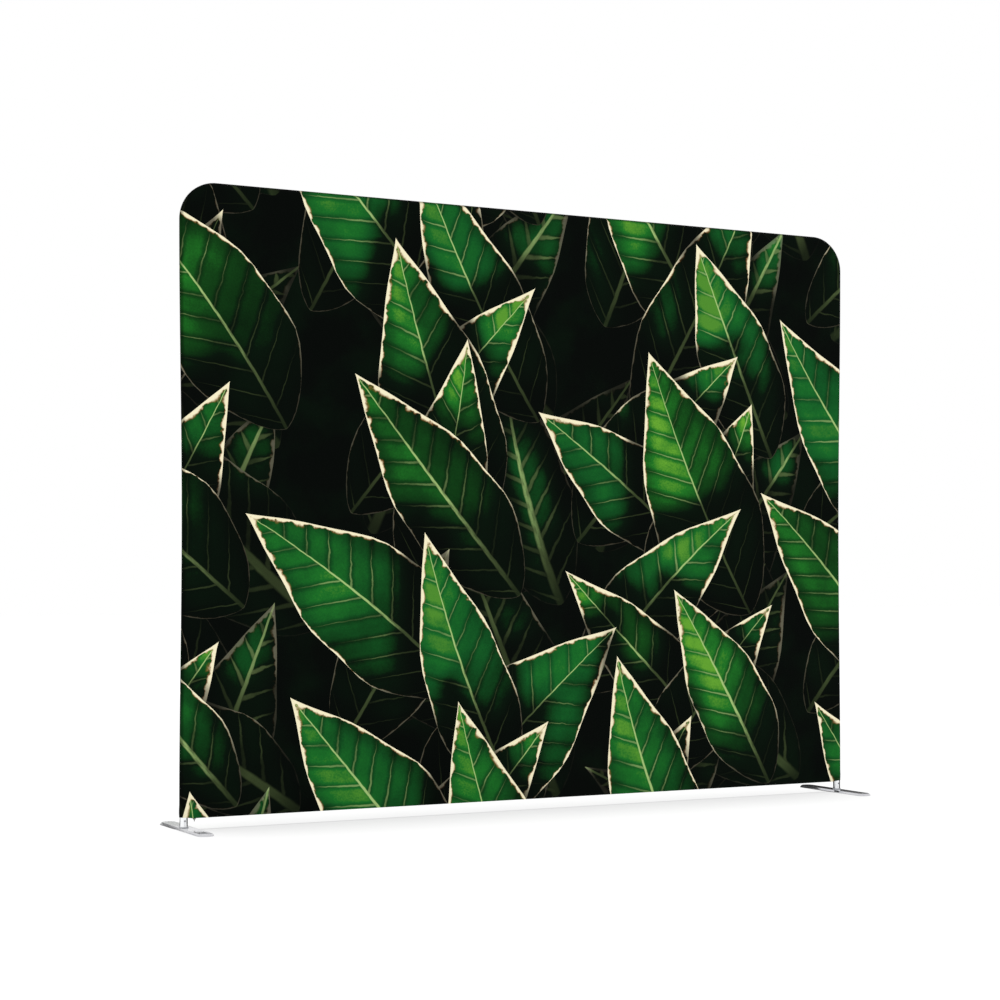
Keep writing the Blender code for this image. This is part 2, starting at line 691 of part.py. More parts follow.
def main():
    tubes = {name: add_tube(name, points) for name, points in tube_lines().items()}
    button = button_mesh()
    add_push_fits(tubes, button)
    add_saddles(tubes)
    add_feet(tubes, button)
    add_cover()
    add_zip_rows()
    add_slider()


main()
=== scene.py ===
"""Looks of the free-standing fabric room divider.

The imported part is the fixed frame. Around it this script builds the printed cover, its
seam and stitches, the zip, the frame tubes and the feet, and gives every piece a
procedural finish. All sizes are metres, in the part's own frame: X along the panel,
-Y towards its front, Z up from the floor.
"""

import logging
import math
import random
from collections.abc import Sequence
from dataclasses import asdict, dataclass
from enum import Enum
from typing import ClassVar

import bmesh
import bpy
import numpy as np
from bpy.types import ID, Material, Mesh, Node, NodeTree, Object
from mathutils import Matrix, Vector
from mathutils.geometry import delaunay_2d_cdt

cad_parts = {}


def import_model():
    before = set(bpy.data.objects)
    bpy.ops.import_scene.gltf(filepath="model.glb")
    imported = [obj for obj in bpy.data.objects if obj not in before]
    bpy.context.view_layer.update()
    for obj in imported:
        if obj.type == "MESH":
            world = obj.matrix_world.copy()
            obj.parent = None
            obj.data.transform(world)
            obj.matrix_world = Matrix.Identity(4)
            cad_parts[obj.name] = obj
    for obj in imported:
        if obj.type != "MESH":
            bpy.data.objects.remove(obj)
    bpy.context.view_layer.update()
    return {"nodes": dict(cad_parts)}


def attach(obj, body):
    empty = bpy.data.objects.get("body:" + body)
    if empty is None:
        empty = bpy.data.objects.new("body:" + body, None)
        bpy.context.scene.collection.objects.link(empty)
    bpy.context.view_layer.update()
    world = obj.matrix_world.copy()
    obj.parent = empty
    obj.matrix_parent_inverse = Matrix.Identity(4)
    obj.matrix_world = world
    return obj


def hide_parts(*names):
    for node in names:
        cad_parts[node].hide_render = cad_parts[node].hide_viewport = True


LOG = logging.getLogger("room_divider")
FRAME_BODY = "frame"
SMOOTH_ANGLE = math.radians(35)
WELD = 0.000001
BEND_STEPS = 24
THREAD_SIDES = 5

UNDERSIDE_Z = 0.0364
ZIP_HALF = 1.2117
SLEEVE_BORE = 0.0093
FOOT_BUTTON_Z = 0.029

UP = Vector((0, 0, 1))
RIGHT = Vector((1, 0, 0))
FRONT = Vector((0, -1, 0))

Socket = bpy.types.NodeSocket
Source = Socket | float | int | tuple | Vector
Inputs = dict[str | int, Source]
Colour = tuple[float, float, float, float]
Pair = tuple[float, float]
Triple = tuple[float, float, float]
Array = np.ndarray
Placed = tuple[Matrix, str]


class Named(Enum):
    """A choice whose name the nodes spell in small letters."""

    @property
    def word(self) -> str:
        """The name as the nodes spell it."""
        return self.name.lower()


class Side(Named):
    """The two ends of the panel, seen from the front. The value is the sign of its X."""

    LEFT = -1
    RIGHT = 1


class Face(Named):
    """The two faces of the panel. The value is the sign of its outward Y."""

    FRONT = -1
    BACK = 1


def srgb(red: int, green: int, blue: int) -> Colour:
    """Turns a display colour into the linear colour that shaders take.

    Args:
        red: Red, 0 to 255.
        green: Green, 0 to 255.
        blue: Blue, 0 to 255.

    Returns:
        The linear colour with full alpha.
    """

    def linear(level: int) -> float:
        """One channel, undone from the display curve."""
        share = level / 255
        return share / 12.92 if share <= 0.04045 else ((share + 0.055) / 1.055) ** 2.4

    return (linear(red), linear(green), linear(blue), 1.0)


def smoothstep(value: Array, low: float, high: float) -> Array:
    """Rises smoothly from 0 at low to 1 at high."""
    share = np.clip((value - low) / (high - low), 0, 1)
    return share * share * (3 - 2 * share)


# Node trees


class Graph:
    """Adds nodes to a tree and links what they are given."""

    noise_low: ClassVar[float] = 0.3
    noise_high: ClassVar[float] = 0.7

    def __init__(self, tree: NodeTree) -> None:
        """Keeps the tree that the nodes go into."""
        self.tree = tree

    def feed(self, owner: Node, inputs: Inputs) -> None:
        """Links a node's inputs to other sockets, or sets their values.

        Args:
            owner: The node.
            inputs: Its inputs by name or index, each a socket or a value.
        """
        for key, value in inputs.items():
            if isinstance(value, Socket):
                self.tree.links.new(value, owner.inputs[key])
            else:
                owner.inputs[key].default_value = value

    def node(self, kind: str, inputs: Inputs | None = None, **settings: object) -> Node:
        """Adds one node.

        Args:
            kind: Its type name.
            inputs: Its inputs by name or index, each a socket or a value.
            settings: Its properties by name.

        Returns:
            The new node.
        """
        made = self.tree.nodes.new(kind)
        for name, value in settings.items():
            setattr(made, name, value)
        self.feed(made, inputs or {})
        return made

    def out(self, kind: str, inputs: Inputs | None = None, **settings: object) -> Socket:
        """Adds one node and gives its first output."""
        return self.node(kind, inputs, **settings).outputs[0]

    def math(self, operation: str, *values: Source, clamp: bool = False) -> Socket:
        """A Math node's result."""
        inputs = dict(enumerate(values))
        return self.out("ShaderNodeMath", inputs, operation=operation, use_clamp=clamp)

    def plus(self, first: Source, second: Source) -> Socket:
        """The sum of two values."""
        return self.math("ADD", first, second)

    def minus(self, first: Source, second: Source) -> Socket:
        """The first value less the second."""
        return self.math("SUBTRACT", first, second)

    def size(self, value: Source) -> Socket:
        """A value without its sign."""
        return self.math("ABSOLUTE", value)

    def times(self, *values: Source) -> Socket:
        """All the values multiplied together.

        Args:
            values: Two or more values.

        Returns:
            The output socket.
        """
        total = values[0]
        for value in values[1:]:
            total = self.math("MULTIPLY", total, value)
        return total

    def span(
        self, value: Source, low: Source, high: Source, start: Source = 0.0, end: Source = 1.0
    ) -> Socket:
        """A smooth change from start to end as value goes from low to high."""
        inputs = {0: value, 1: low, 2: high, 3: start, 4: end}
        return self.out("ShaderNodeMapRange", inputs, interpolation_type="SMOOTHSTEP")

    def swing(self, noise: Source, start: Source = 0.0, end: Source = 1.0) -> Socket:
        """A smooth change from start to end over the usual range of noise."""
        return self.span(noise, self.noise_low, self.noise_high, start, end)

    def line(self, distance: Source, half: Source, core: float) -> Socket:
        """A soft line: full up to a share of its half width, and nothing past that width."""
        return self.span(distance, half, self.times(half, core))

    def blend(self, share: Source, first: Source, second: Source, mode: str = "MIX") -> Socket:
        """Two colours mixed, with so much of the second."""
        inputs = {0: share, 6: first, 7: second}
        return self.node("ShaderNodeMix", inputs, data_type="RGBA", blend_type=mode).outputs[2]

    def noise(self, place: Source, scale: float, detail: float, roughness: float = 0.5) -> Socket:
        """Soft noise around 0.5."""
        inputs = {"Vector": place, "Scale": scale, "Detail": detail, "Roughness": roughness}
        return self.out("ShaderNodeTexNoise", inputs)

    def placed(self, scale: Triple = (1, 1, 1), turn: Triple = (0, 0, 0)) -> Socket:
        """Object coordinates, turned and scaled.

        Args:
            scale: The scale along each axis.
            turn: The turn about each axis, in radians.

        Returns:
            The vector socket.
        """
        where = self.node("ShaderNodeTexCoord").outputs["Object"]
        inputs = {"Vector": where, "Rotation": turn, "Scale": scale}
        return self.out("ShaderNodeMapping", inputs)

    def flat(self) -> Socket:
        """The cloth's own flat coordinates."""
        return self.out("ShaderNodeUVMap", uv_map="cloth")

    def parts(self, vector: Source) -> list[Socket]:
        """A vector's X, Y and Z."""
        return list(self.node("ShaderNodeSeparateXYZ", {0: vector}).outputs)

    def joined(self, x: Source = 0.0, y: Source = 0.0, z: Source = 0.0) -> Socket:
        """A vector of three values."""
        return self.out("ShaderNodeCombineXYZ", {0: x, 1: y, 2: z})

    def attribute(self, name: str) -> list[Socket]:
        """The three parts of a mesh attribute."""
        return self.parts(self.node("ShaderNodeAttribute", attribute_name=name).outputs["Vector"])

    def bump(self, height: Source, strength: float, distance: float) -> Socket:
        """A normal bumped by a height, of which 1 stands for a distance."""
        inputs = {"Height": height, "Strength": strength, "Distance": distance}
        return self.out("ShaderNodeBump", inputs)


# Finishes


@dataclass(frozen=True)
class Finish:
    """A procedural finish. Its material is made once and shared."""

    name: str

    def material(self) -> Material:
        """The finish as a material.

        Returns:
            The material, new or already made.
        """
        found = bpy.data.materials.get(self.name)
        if found:
            return found
        made = bpy.data.materials.new(self.name)
        made.use_nodes = True
        graph = Graph(made.node_tree)
        graph.feed(made.node_tree.nodes["Principled BSDF"], self.dress(graph))
        return made

    def dress(self, graph: Graph) -> Inputs:
        """Wires what the shader reads. Each kind of finish has its own way."""
        raise NotImplementedError


@dataclass(frozen=True)
class DrawnMetal(Finish):
    """Bare metal with fine lines along the way it was drawn or ground."""

    bright: Colour = srgb(248, 249, 250)
    dull: Colour = srgb(232, 234, 236)
    roughness: float = 0.2
    spread: float = 0.06
    grain: Triple = (900.0, 900.0, 14.0)
    depth: float = 0.00002
    cloud: float = 9.0
    line_share: float = 0.6

    def dress(self, graph: Graph) -> Inputs:
        """Wires lines that stretch along the grain, over a slow change of tone.

        Args:
            graph: The material's nodes.

        Returns:
            The shader's inputs.
        """
        lines = graph.noise(graph.placed(self.grain), 1.0, 2.0)
        slow = graph.noise(graph.placed((self.cloud,) * 3), 1.0, 4.0, 0.6)
        tone = graph.times(lines, self.line_share)
        tone = graph.plus(tone, graph.times(slow, 1 - self.line_share))
        rough = graph.swing(tone, self.roughness + self.spread, self.roughness - self.spread / 2)
        return {
            "Base Color": graph.blend(graph.swing(tone), self.dull, self.bright),
            "Roughness": rough,
            "Normal": graph.bump(lines, 0.35, self.depth),
            "Metallic": 1.0,
        }


@dataclass(frozen=True)
class MouldedPlastic(Finish):
    """Moulded plastic with a fine even grain."""

    colour: Colour = srgb(36, 37, 38)
    worn: Colour = srgb(62, 63, 64)
    grain: float = 1400.0
    patch: float = 60.0
    roughness: float = 0.42

    def dress(self, graph: Graph) -> Inputs:
        """Wires fine grain in the bump, and paler rubbed patches.

        Args:
            graph: The material's nodes.

        Returns:
            The shader's inputs.
        """
        fine = graph.noise(graph.placed(), self.grain, 2.0)
        patches = graph.noise(graph.placed(), self.patch, 4.0)
        return {
            "Base Color": graph.blend(graph.span(patches, 0.52, 0.75), self.colour, self.worn),
            "Roughness": graph.swing(patches, self.roughness + 0.1, self.roughness - 0.06),
            "Normal": graph.bump(fine, 0.4, 0.00005),
        }


@dataclass(frozen=True)
class WovenTape(Finish):
    """Close herringbone weave, as on a zip's tape."""

    colour: Colour = srgb(20, 21, 23)
    raised: Colour = srgb(46, 48, 51)
    pitch: float = 0.0008
    fuzz: float = 2600.0

    def dress(self, graph: Graph) -> Inputs:
        """Wires two slanted sets of ribs that meet in a herringbone, the raised ribs painted
        lighter as a highlight and the hollows darker as painted shade, varied by random fuzz.

        Args:
            graph: The material's nodes.

        Returns:
            The shader's inputs.
        """
        x, y, _ = graph.parts(graph.placed())
        along = graph.plus(x, graph.math("PINGPONG", y, self.pitch * 2))
        rib = graph.math("SINE", graph.times(along, 2 * math.pi / self.pitch))
        height = graph.span(rib, -1.0, 1.0)
        fuzz = graph.noise(graph.placed(), self.fuzz, 2.0)
        return {
            # Painted highlight on the raised ribs and painted shade between them, broken up by
            # random fuzz.
            "Base Color": graph.blend(graph.times(height, fuzz), self.colour, self.raised),
            "Roughness": graph.span(fuzz, 0.2, 0.8, 0.75, 0.95),
            "Normal": graph.bump(height, 0.6, 0.0001),
            "Sheen Weight": 0.15,
        }


@dataclass(frozen=True)
class SpunThread(Finish):
    """Polyester thread or filament, with the twist of its plies."""

    colour: Colour = srgb(16, 40, 26)
    light: Colour = srgb(52, 84, 62)
    twist: float = 1500.0
    stretch: float = 0.3
    slant: Triple = (0.5, 0.4, 0.6)
    roughness: float = 0.55

    def dress(self, graph: Graph) -> Inputs:
        """Wires slanted plies in colour and bump; the lighter colour is a painted highlight on the
        raised strands.

        Args:
            graph: The material's nodes.

        Returns:
            The shader's inputs.
        """
        scale = (self.twist, self.twist * self.stretch, self.twist)
        plies = graph.noise(graph.placed(scale, self.slant), 1.0, 1.0)
        return {
            # The plies' raised strands are painted lighter, a painted highlight along the twist.
            "Base Color": graph.blend(graph.span(plies, 0.35, 0.65), self.colour, self.light),
            "Roughness": graph.swing(plies, self.roughness + 0.1, self.roughness - 0.1),
            "Normal": graph.bump(plies, 0.5, 0.00006),
        }


@dataclass(frozen=True)
class EnamelledMetal(Finish):
    """Die-cast metal with a thin dark coat, rubbed through in places."""

    coat: Colour = srgb(18, 19, 22)
    rubbed: Colour = srgb(92, 90, 90)
    roughness: float = 0.32
    speck: float = 420.0
    peel: float = 1800.0

    def dress(self, graph: Graph) -> Inputs:
        """Wires fine orange peel under the coat, with rubbed specks.

        Args:
            graph: The material's nodes.

        Returns:
            The shader's inputs.
        """
        specks = graph.noise(graph.placed(), self.speck, 5.0, 0.65)
        worn = graph.span(specks, 0.58, 0.72)
        peel = graph.noise(graph.placed(), self.peel, 1.0)
        return {
            "Base Color": graph.blend(worn, self.coat, self.rubbed),
            "Metallic": graph.span(worn, 0.0, 1.0, 0.55, 1.0),
            "Roughness": graph.swing(specks, self.roughness - 0.05, self.roughness + 0.14),
            "Normal": graph.bump(peel, 0.25, 0.00003),
        }


@dataclass(frozen=True)
class Knit(Finish):
    """Fine tricot cloth. The plain kind is the unprinted inner face."""

    yarn: Colour = srgb(226, 227, 225)
    hollow: Colour = srgb(204, 205, 203)
    wale: float = 0.0011
    course: float = 0.0009

    def loops(self, graph: Graph) -> Socket:
        """The height of the knit's loops.

        Args:
            graph: The material's nodes.

        Returns:
            The height, from 0 to 1.
        """
        x, y, _ = graph.parts(graph.flat())
        across = graph.math("SINE", graph.times(x, 2 * math.pi / self.wale))
        up = graph.plus(y, graph.times(graph.size(across), self.course / 2))
        along = graph.math("SINE", graph.times(up, 2 * math.pi / self.course))
        return graph.span(graph.plus(graph.size(across), along), -0.8, 1.8)

    def dress(self, graph: Graph) -> Inputs:
        """Wires white yarn with painted shade in its hollows.

        Args:
            graph: The material's nodes.

        Returns:
            The shader's inputs.
        """
        loops = self.loops(graph)
        return {
            # The hollows between the loops are painted darker as shade.
            "Base Color": graph.blend(loops, self.hollow, self.yarn),
            "Roughness": graph.span(loops, 0.0, 1.0, 0.95, 0.82),
            "Normal": graph.bump(loops, 0.3, 0.0001),
            "Sheen Weight": 0.1,
        }


class PrintPoint:
    """What the print reads at a point of the cloth, from three corner attributes.

    leaf_place holds the way along the leaf, the way across it and its half width there;
    leaf_light the share along the leaf, the light on it and how soft it is printed;
    leaf_sort its tone, its hue and a number of its own, which sets its noise apart.
    """

    def __init__(self, graph: Graph) -> None:
        """Reads the attributes and sets up the noise.

        Args:
            graph: The material's nodes.
        """
        self.along, self.across, self.half = graph.attribute("leaf_place")
        self.share, self.light, self.soft = graph.attribute("leaf_light")
        self.tone, self.hue, self.own = graph.attribute("leaf_sort")
        offset = graph.joined(self.own, self.own, self.own)
        place = graph.out("ShaderNodeVectorMath", {0: graph.flat(), 1: offset}, operation="ADD")
        self.slow = graph.noise(place, 5.0, 4.0)
        self.quick = graph.noise(place, 26.0, 3.0)
        self.fine = graph.noise(place, 160.0, 3.0, 0.6)


@dataclass(frozen=True)
class PrintedKnit(Knit):
    """The cover's outer face: overlapping leaves, printed on the knit."""

    ground: Colour = srgb(2, 5, 3)
    shadow: Colour = srgb(4, 19, 7)
    deep: Colour = srgb(16, 65, 20)
    middle: Colour = srgb(32, 117, 36)
    bright: Colour = srgb(104, 170, 50)
    blue: Colour = srgb(10, 92, 44)
    vein: Colour = srgb(180, 210, 132)
    cream: Colour = srgb(252, 243, 206)
    gold: Colour = srgb(148, 94, 34)
    ramp_places: tuple[float, ...] = (0.0, 0.16, 0.42, 0.72, 1.0)
    rib_half: float = 0.006
    vein_half: float = 0.0024
    vein_pitch: float = 0.08
    pitch_change: float = 0.0012
    vein_slant: float = 0.85
    vein_stagger: float = 0.27
    vein_strength: float = 0.42
    rib_strength: float = 0.85
    wander: float = 0.016
    side_wander: float = 0.35
    blur: float = 3.0
    least_half: float = 0.004
    edge_width: float = 0.012
    edge_change: float = 0.006
    tube_line: float = 0.0125
    tube_line_half: float = 0.0016

    def ramp(self, graph: Graph, light: Socket) -> Socket:
        """The leaf's green at a level of light.

        Args:
            graph: The material's nodes.
            light: The level, 0 to 1.

        Returns:
            The colour.
        """
        made = graph.node("ShaderNodeValToRGB", {0: light})
        colours = (self.ground, self.shadow, self.deep, self.middle, self.bright)
        band = made.color_ramp
        while len(band.elements) < len(colours):
            band.elements.new(0.5)
        for element, place, colour in zip(band.elements, self.ramp_places, colours):
            element.position = place
            element.color = colour
        return made.outputs[0]

    def leaf(self, graph: Graph, at: PrintPoint) -> Socket:
        """The leaf's body, its midrib and its side veins.

        Args:
            graph: The material's nodes.
            at: What the cloth holds at the point.

        Returns:
            The colour.
        """
        wander = graph.times(graph.minus(at.quick, 0.5), self.wander)
        side = graph.plus(at.across, graph.times(wander, self.side_wander))
        reach = graph.size(side)
        filled = graph.math("DIVIDE", reach, graph.math("MAXIMUM", at.half, self.least_half))
        blur = graph.plus(1.0, graph.times(at.soft, self.blur))

        # Side veins slant forward from the rib, set over on one half, and fade towards the edge.
        slant = graph.minus(graph.plus(at.along, wander), graph.times(reach, self.vein_slant))
        pitch = graph.plus(self.vein_pitch, graph.times(at.own, self.pitch_change))
        stagger = graph.times(graph.math("SIGN", side), self.vein_stagger)
        phase = graph.math("FRACT", graph.plus(graph.math("DIVIDE", slant, pitch), stagger))
        gap = graph.times(graph.size(graph.minus(phase, 0.5)), pitch)
        taper = graph.span(filled, 0.0, 0.95, self.vein_half * 1.6, self.vein_half * 0.4)
        side_vein = graph.times(
            graph.line(gap, graph.times(taper, blur), 0.35),
            graph.span(filled, 0.98, 0.55, 0.15, 1.0),
            graph.span(at.slow, 0.36, 0.6, 0.25, 1.0),
        )

        # The midrib tapers towards the tip.
        taper = graph.span(at.share, 0.0, 1.0, self.rib_half, self.rib_half * 0.22)
        line = graph.line(reach, graph.times(taper, blur), 0.45)
        rib = graph.times(line, graph.span(at.share, 0.0, 0.2, 0.3, 1.0))

        # Between the veins the leaf swells, and one half of it faces the light.
        level = graph.times(
            at.light,
            at.tone,
            graph.span(gap, 0.0, 0.026, 0.72, 1.12),
            graph.span(side, -0.012, 0.012, 0.78, 1.12),
            graph.span(filled, 1.0, 0.45, 0.62, 1.0),
            graph.span(at.fine, 0.25, 0.75, 0.92, 1.08),
            graph.swing(at.slow, 0.72, 1.16),
        )
        body = self.ramp(graph, graph.math("MULTIPLY", level, 0.86, clamp=True))
        body = graph.blend(graph.times(at.hue, graph.span(level, 0.15, 0.6)), body, self.blue)
        veins = graph.times(side_vein, self.vein_strength)
        veins = graph.math("MAXIMUM", veins, graph.times(rib, self.rib_strength))
        glow = graph.times(at.soft, at.light, 0.85)
        lit = graph.math("MAXIMUM", graph.span(level, 0.04, 0.62, 0.1, 1.0), glow)
        shown = graph.times(veins, lit, graph.span(at.soft, 0.0, 1.0, 1.0, 0.7))
        return graph.blend(shown, body, self.vein)

    def edged(self, graph: Graph, at: PrintPoint, body: Socket) -> Socket:
        """The leaf with its pale dry edge, gold where it is thin.

        Args:
            graph: The material's nodes.
            at: What the cloth holds at the point.
            body: The leaf's colour without its edge.

        Returns:
            The colour.
        """
        thicker = graph.span(at.share, 0.3, 1.0, 0.55, 1.9)
        ragged = graph.times(graph.swing(at.quick, 0.2, 1.3), thicker, self.edge_width)
        inside = graph.minus(at.half, graph.size(at.across))
        ripe = graph.plus(inside, graph.times(graph.minus(at.fine, 0.5), self.edge_change))
        thin = graph.span(ripe, graph.times(ragged, 0.4), graph.times(ragged, 0.85))
        shown = graph.times(
            graph.line(inside, ragged, 0.5),
            graph.span(at.light, 0.12, 0.65, 0.12, 1.0),
            graph.span(at.share, 0.02, 0.4, 0.3, 1.0),
            graph.span(at.soft, 0.3, 0.8, 1.0, 0.1),
        )
        return graph.blend(shown, body, graph.blend(thin, self.cream, self.gold))

    def dress(self, graph: Graph) -> Inputs:
        """Wires the leaves over a dark ground, and the knit over both, with painted shade along the
        tube's line, round the rim and in the knit's hollows.

        Args:
            graph: The material's nodes.

        Returns:
            The shader's inputs.
        """
        at = PrintPoint(graph)
        body = self.edged(graph, at, self.leaf(graph, at))
        patch = graph.times(graph.span(at.slow, 0.42, 0.75), 0.7)
        murk = graph.blend(patch, self.ground, self.shadow)
        printed = graph.blend(graph.span(at.half, -0.5, 0.0), murk, body)

        # The tube's inner side shows through the stretched cloth as a faint line of painted shade.
        inward = graph.attribute("cloth_edge")[0]
        off_line = graph.size(graph.minus(inward, self.tube_line))
        tube_line_shade = graph.span(off_line, 0.0, self.tube_line_half, 0.88, 1.0)
        # Painted shade: the print is darker where the cloth turns round the rim, away from the
        # light.
        rim_shade = graph.span(inward, -self.tube_line, -0.002, 0.45, 1.0)
        loops = self.loops(graph)
        # The knit's hollows darken the print as painted shade and its loop tops lift it as a
        # painted highlight, together with the painted shades above.
        shade = graph.times(tube_line_shade, rim_shade, graph.span(loops, 0.0, 1.0, 0.9, 1.03))
        grey = graph.out("ShaderNodeCombineColor", {0: shade, 1: shade, 2: shade})
        return {
            "Base Color": graph.blend(1.0, printed, grey, "MULTIPLY"),
            "Roughness": graph.span(loops, 0.0, 1.0, 0.86, 0.7),
            "Normal": graph.bump(loops, 0.25, 0.00008),
            "Specular IOR Level": 0.04,
        }


TUBE_ALONG_Z = DrawnMetal("drawn_aluminium_upright", roughness=0.07, spread=0.02)
TUBE_ALONG_X = DrawnMetal("drawn_aluminium_rail", grain=(14.0, 900.0, 900.0))
TUBE_ROUND_BEND = DrawnMetal("drawn_aluminium_bend", grain=(14.0, 900.0, 14.0))
MILL_ALUMINIUM = DrawnMetal(
    "mill_aluminium", srgb(198, 200, 203), srgb(168, 170, 174), 0.36, grain=(420.0,) * 3
)
PLATE_STEEL = DrawnMetal(
    "brushed_plate_steel",
    srgb(218, 218, 220),
    srgb(192, 192, 197),
    roughness=0.13,
    spread=0.03,
    grain=(700.0, 9.0, 700.0),
    depth=0.000008,
)
ZINC_STEEL = DrawnMetal(
    "zinc_plated_steel", srgb(188, 188, 190), srgb(140, 141, 146), 0.3, grain=(300.0,) * 3
)
BLACK_PLASTIC = MouldedPlastic("moulded_black_plastic")
ZIP_TAPE = WovenTape("woven_zip_tape")
ZIP_NYLON = SpunThread("nylon_coil", srgb(14, 14, 16), srgb(44, 45, 48), roughness=0.38)
SEAM_THREAD = SpunThread("seam_thread")
TAPE_THREAD = SpunThread("tape_thread", srgb(22, 24, 24), srgb(60, 62, 62))
SLIDER_COAT = EnamelledMetal("slider_coat")
PULL_COAT = EnamelledMetal("pull_coat", srgb(84, 70, 68), srgb(150, 138, 134), roughness=0.36)
INNER_KNIT = Knit("unprinted_knit")
PRINTED_KNIT = PrintedKnit("printed_knit")


# Shared mesh work


def linked(name: str, data: ID) -> Object:
    """Puts a mesh, camera or lamp in the scene, at the origin.

    Args:
        name: The object's name.
        data: What it holds.

    Returns:
        The object.
    """
    obj = bpy.data.objects.new(name, data)
    bpy.context.scene.collection.objects.link(obj)
    return obj


def new_object(name: str, mesh: Mesh, finish: Finish | None = None) -> Object:
    """Puts a mesh in the scene as a piece.

    Args:
        name: The piece's name.
        mesh: Its mesh, in place.
        finish: Its finish, if the mesh has none yet.

    Returns:
        The object.
    """
    if finish:
        mesh.materials.clear()
        mesh.materials.append(finish.material())
    return linked(name, mesh)


def settled(obj: Object) -> Mesh:
    """The plain mesh that an object evaluates to.

    Args:
        obj: The object, which is removed.

    Returns:
        The mesh, with the object's name.
    """
    graph = bpy.context.evaluated_depsgraph_get()
    mesh = bpy.data.meshes.new_from_object(obj.evaluated_get(graph))
    mesh.name = obj.name
    bpy.data.objects.remove(obj)
    return mesh


def freed(name: str, bm: bmesh.types.BMesh) -> Mesh:
    """Turns an edit mesh into a mesh.

    Args:
        name: Its name.
        bm: The edit mesh, which is freed.

    Returns:
        The mesh.
    """
    mesh = bpy.data.meshes.new(name)
    bm.to_mesh(mesh)
    bm.free()
    return mesh


def smoothed(mesh: Mesh, angle: float = SMOOTH_ANGLE) -> Mesh:
    """Shades a mesh smooth between its sharp edges.

    Args:
        mesh: The mesh.
        angle: The angle from which an edge is sharp.

    Returns:
        The same mesh.
    """
    mesh.shade_smooth()
    mesh.set_sharp_from_angle(angle=angle)
    return mesh


def keep(obj: Object, body: str, slot: str, *nodes: str) -> None:
    """Ties a piece to its body, and hides the CAD nodes that it stands for.

    Args:
        obj: The piece.
        body: The body that it rides on.
        slot: The name of a material slot. It is not used.
        nodes: The CAD nodes that it replaces.
    """
    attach(obj, body)
    if nodes:
        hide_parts(*nodes)
    LOG.info("%s: %d faces, on %s", obj.name, len(obj.data.polygons), body)


def axes_at(origin: Vector, x_axis: Vector, z_axis: Vector) -> Matrix:
    """A placement whose local X and Z point along two directions.

    Args:
        origin: Where it stands.
        x_axis: The direction of its X.
        z_axis: The direction of its Z.

    Returns:
        The placement.
    """
    z = Vector(z_axis).normalized()
    y = z.cross(Vector(x_axis)).normalized()
    return Matrix.Translation(origin) @ Matrix((y.cross(z), y, z)).transposed().to_4x4()


def lofted(name: str, rings: Sequence[Sequence[Sequence[float]]], closed: bool = False) -> Mesh:
    """A skin over rings of points, each ring closed.

    Args:
        name: Its name.
        rings: The rings, all with as many points.
        closed: Whether the last ring joins the first, and not two end caps.

    Returns:
        The mesh.
    """
    bm = bmesh.new()
    rows = [[bm.verts.new(point) for point in ring] for ring in rings]
    for lower, upper in zip(rows, rows[1:] + (rows[:1] if closed else [])):
        for i in range(len(lower)):
            j = (i + 1) % len(lower)
            bm.faces.new((lower[i], lower[j], upper[j], upper[i]))
    if not closed:
        bm.faces.new(list(reversed(rows[0])))
        bm.faces.new(rows[-1])
    bmesh.ops.remove_doubles(bm, verts=bm.verts, dist=WELD)
    bmesh.ops.recalc_face_normals(bm, faces=bm.faces)
    return freed(name, bm)


def turned(name: str, profile: Sequence[Pair], sides: int, closed: bool = False) -> Mesh:
    """A profile of (radius, height) points turned round local Z.

    Args:
        name: Its name.
        profile: The profile's points.
        sides: How many sides the turn has.
        closed: Whether the profile is a ring, for a piece with a bore.

    Returns:
        The mesh.
    """
    angles = [2 * math.pi * i / sides for i in range(sides)]
    rings = [[(r * math.cos(a), r * math.sin(a), z) for a in angles] for r, z in profile]
    return lofted(name, rings, closed)


def cut_by(mesh: Mesh, cutters: Sequence[Mesh], operation: str = "DIFFERENCE") -> Mesh:
    """A mesh with others taken from it or added to it.

    Args:
        mesh: The mesh that is changed.
        cutters: The other meshes, whose objects are removed.
        operation: The Boolean's operation.

    Returns:
        The new mesh.
    """
    obj = new_object(mesh.name, mesh)
    helpers = [new_object(f"{mesh.name}_cutter", cutter) for cutter in cutters]
    for helper in helpers:
        modifier = obj.modifiers.new(helper.name, "BOOLEAN")
        modifier.object = helper
        modifier.operation = operation
        modifier.solver = "EXACT"
    made = settled(obj)
    for helper in helpers:
        bpy.data.objects.remove(helper)
    return made


def rounded_box(
    name: str, low: Sequence[float], high: Sequence[float], radius: float, steps: int = 3
) -> Mesh:
    """A box with rounded edges.

    Args:
        name: Its name.
        low: Its lowest corner.
        high: Its highest corner.
        radius: The radius of its edges.
        steps: The segments of a rounded edge.

    Returns:
        The mesh.
    """
    low, high = Vector(low), Vector(high)
    place = Matrix.Translation((low + high) / 2) @ Matrix.Diagonal((*(high - low), 1))
    bm = bmesh.new()
    bmesh.ops.create_cube(bm, size=1, matrix=place)
    rounding = {"offset": radius, "segments": steps, "profile": 0.5, "clamp_overlap": True}
    bmesh.ops.bevel(bm, geom=bm.edges[:], affect="EDGES", **rounding)
    return smoothed(freed(name, bm))


def hold_vectors(mesh: Mesh, name: str, domain: str, values: Array | Sequence[Triple]) -> None:
    """Stores a vector attribute on a mesh, by point or by corner."""
    held = mesh.attributes.new(name, "FLOAT_VECTOR", domain)
    held.data.foreach_set("vector", np.asarray(values, np.float32).ravel())


# Geometry node trees


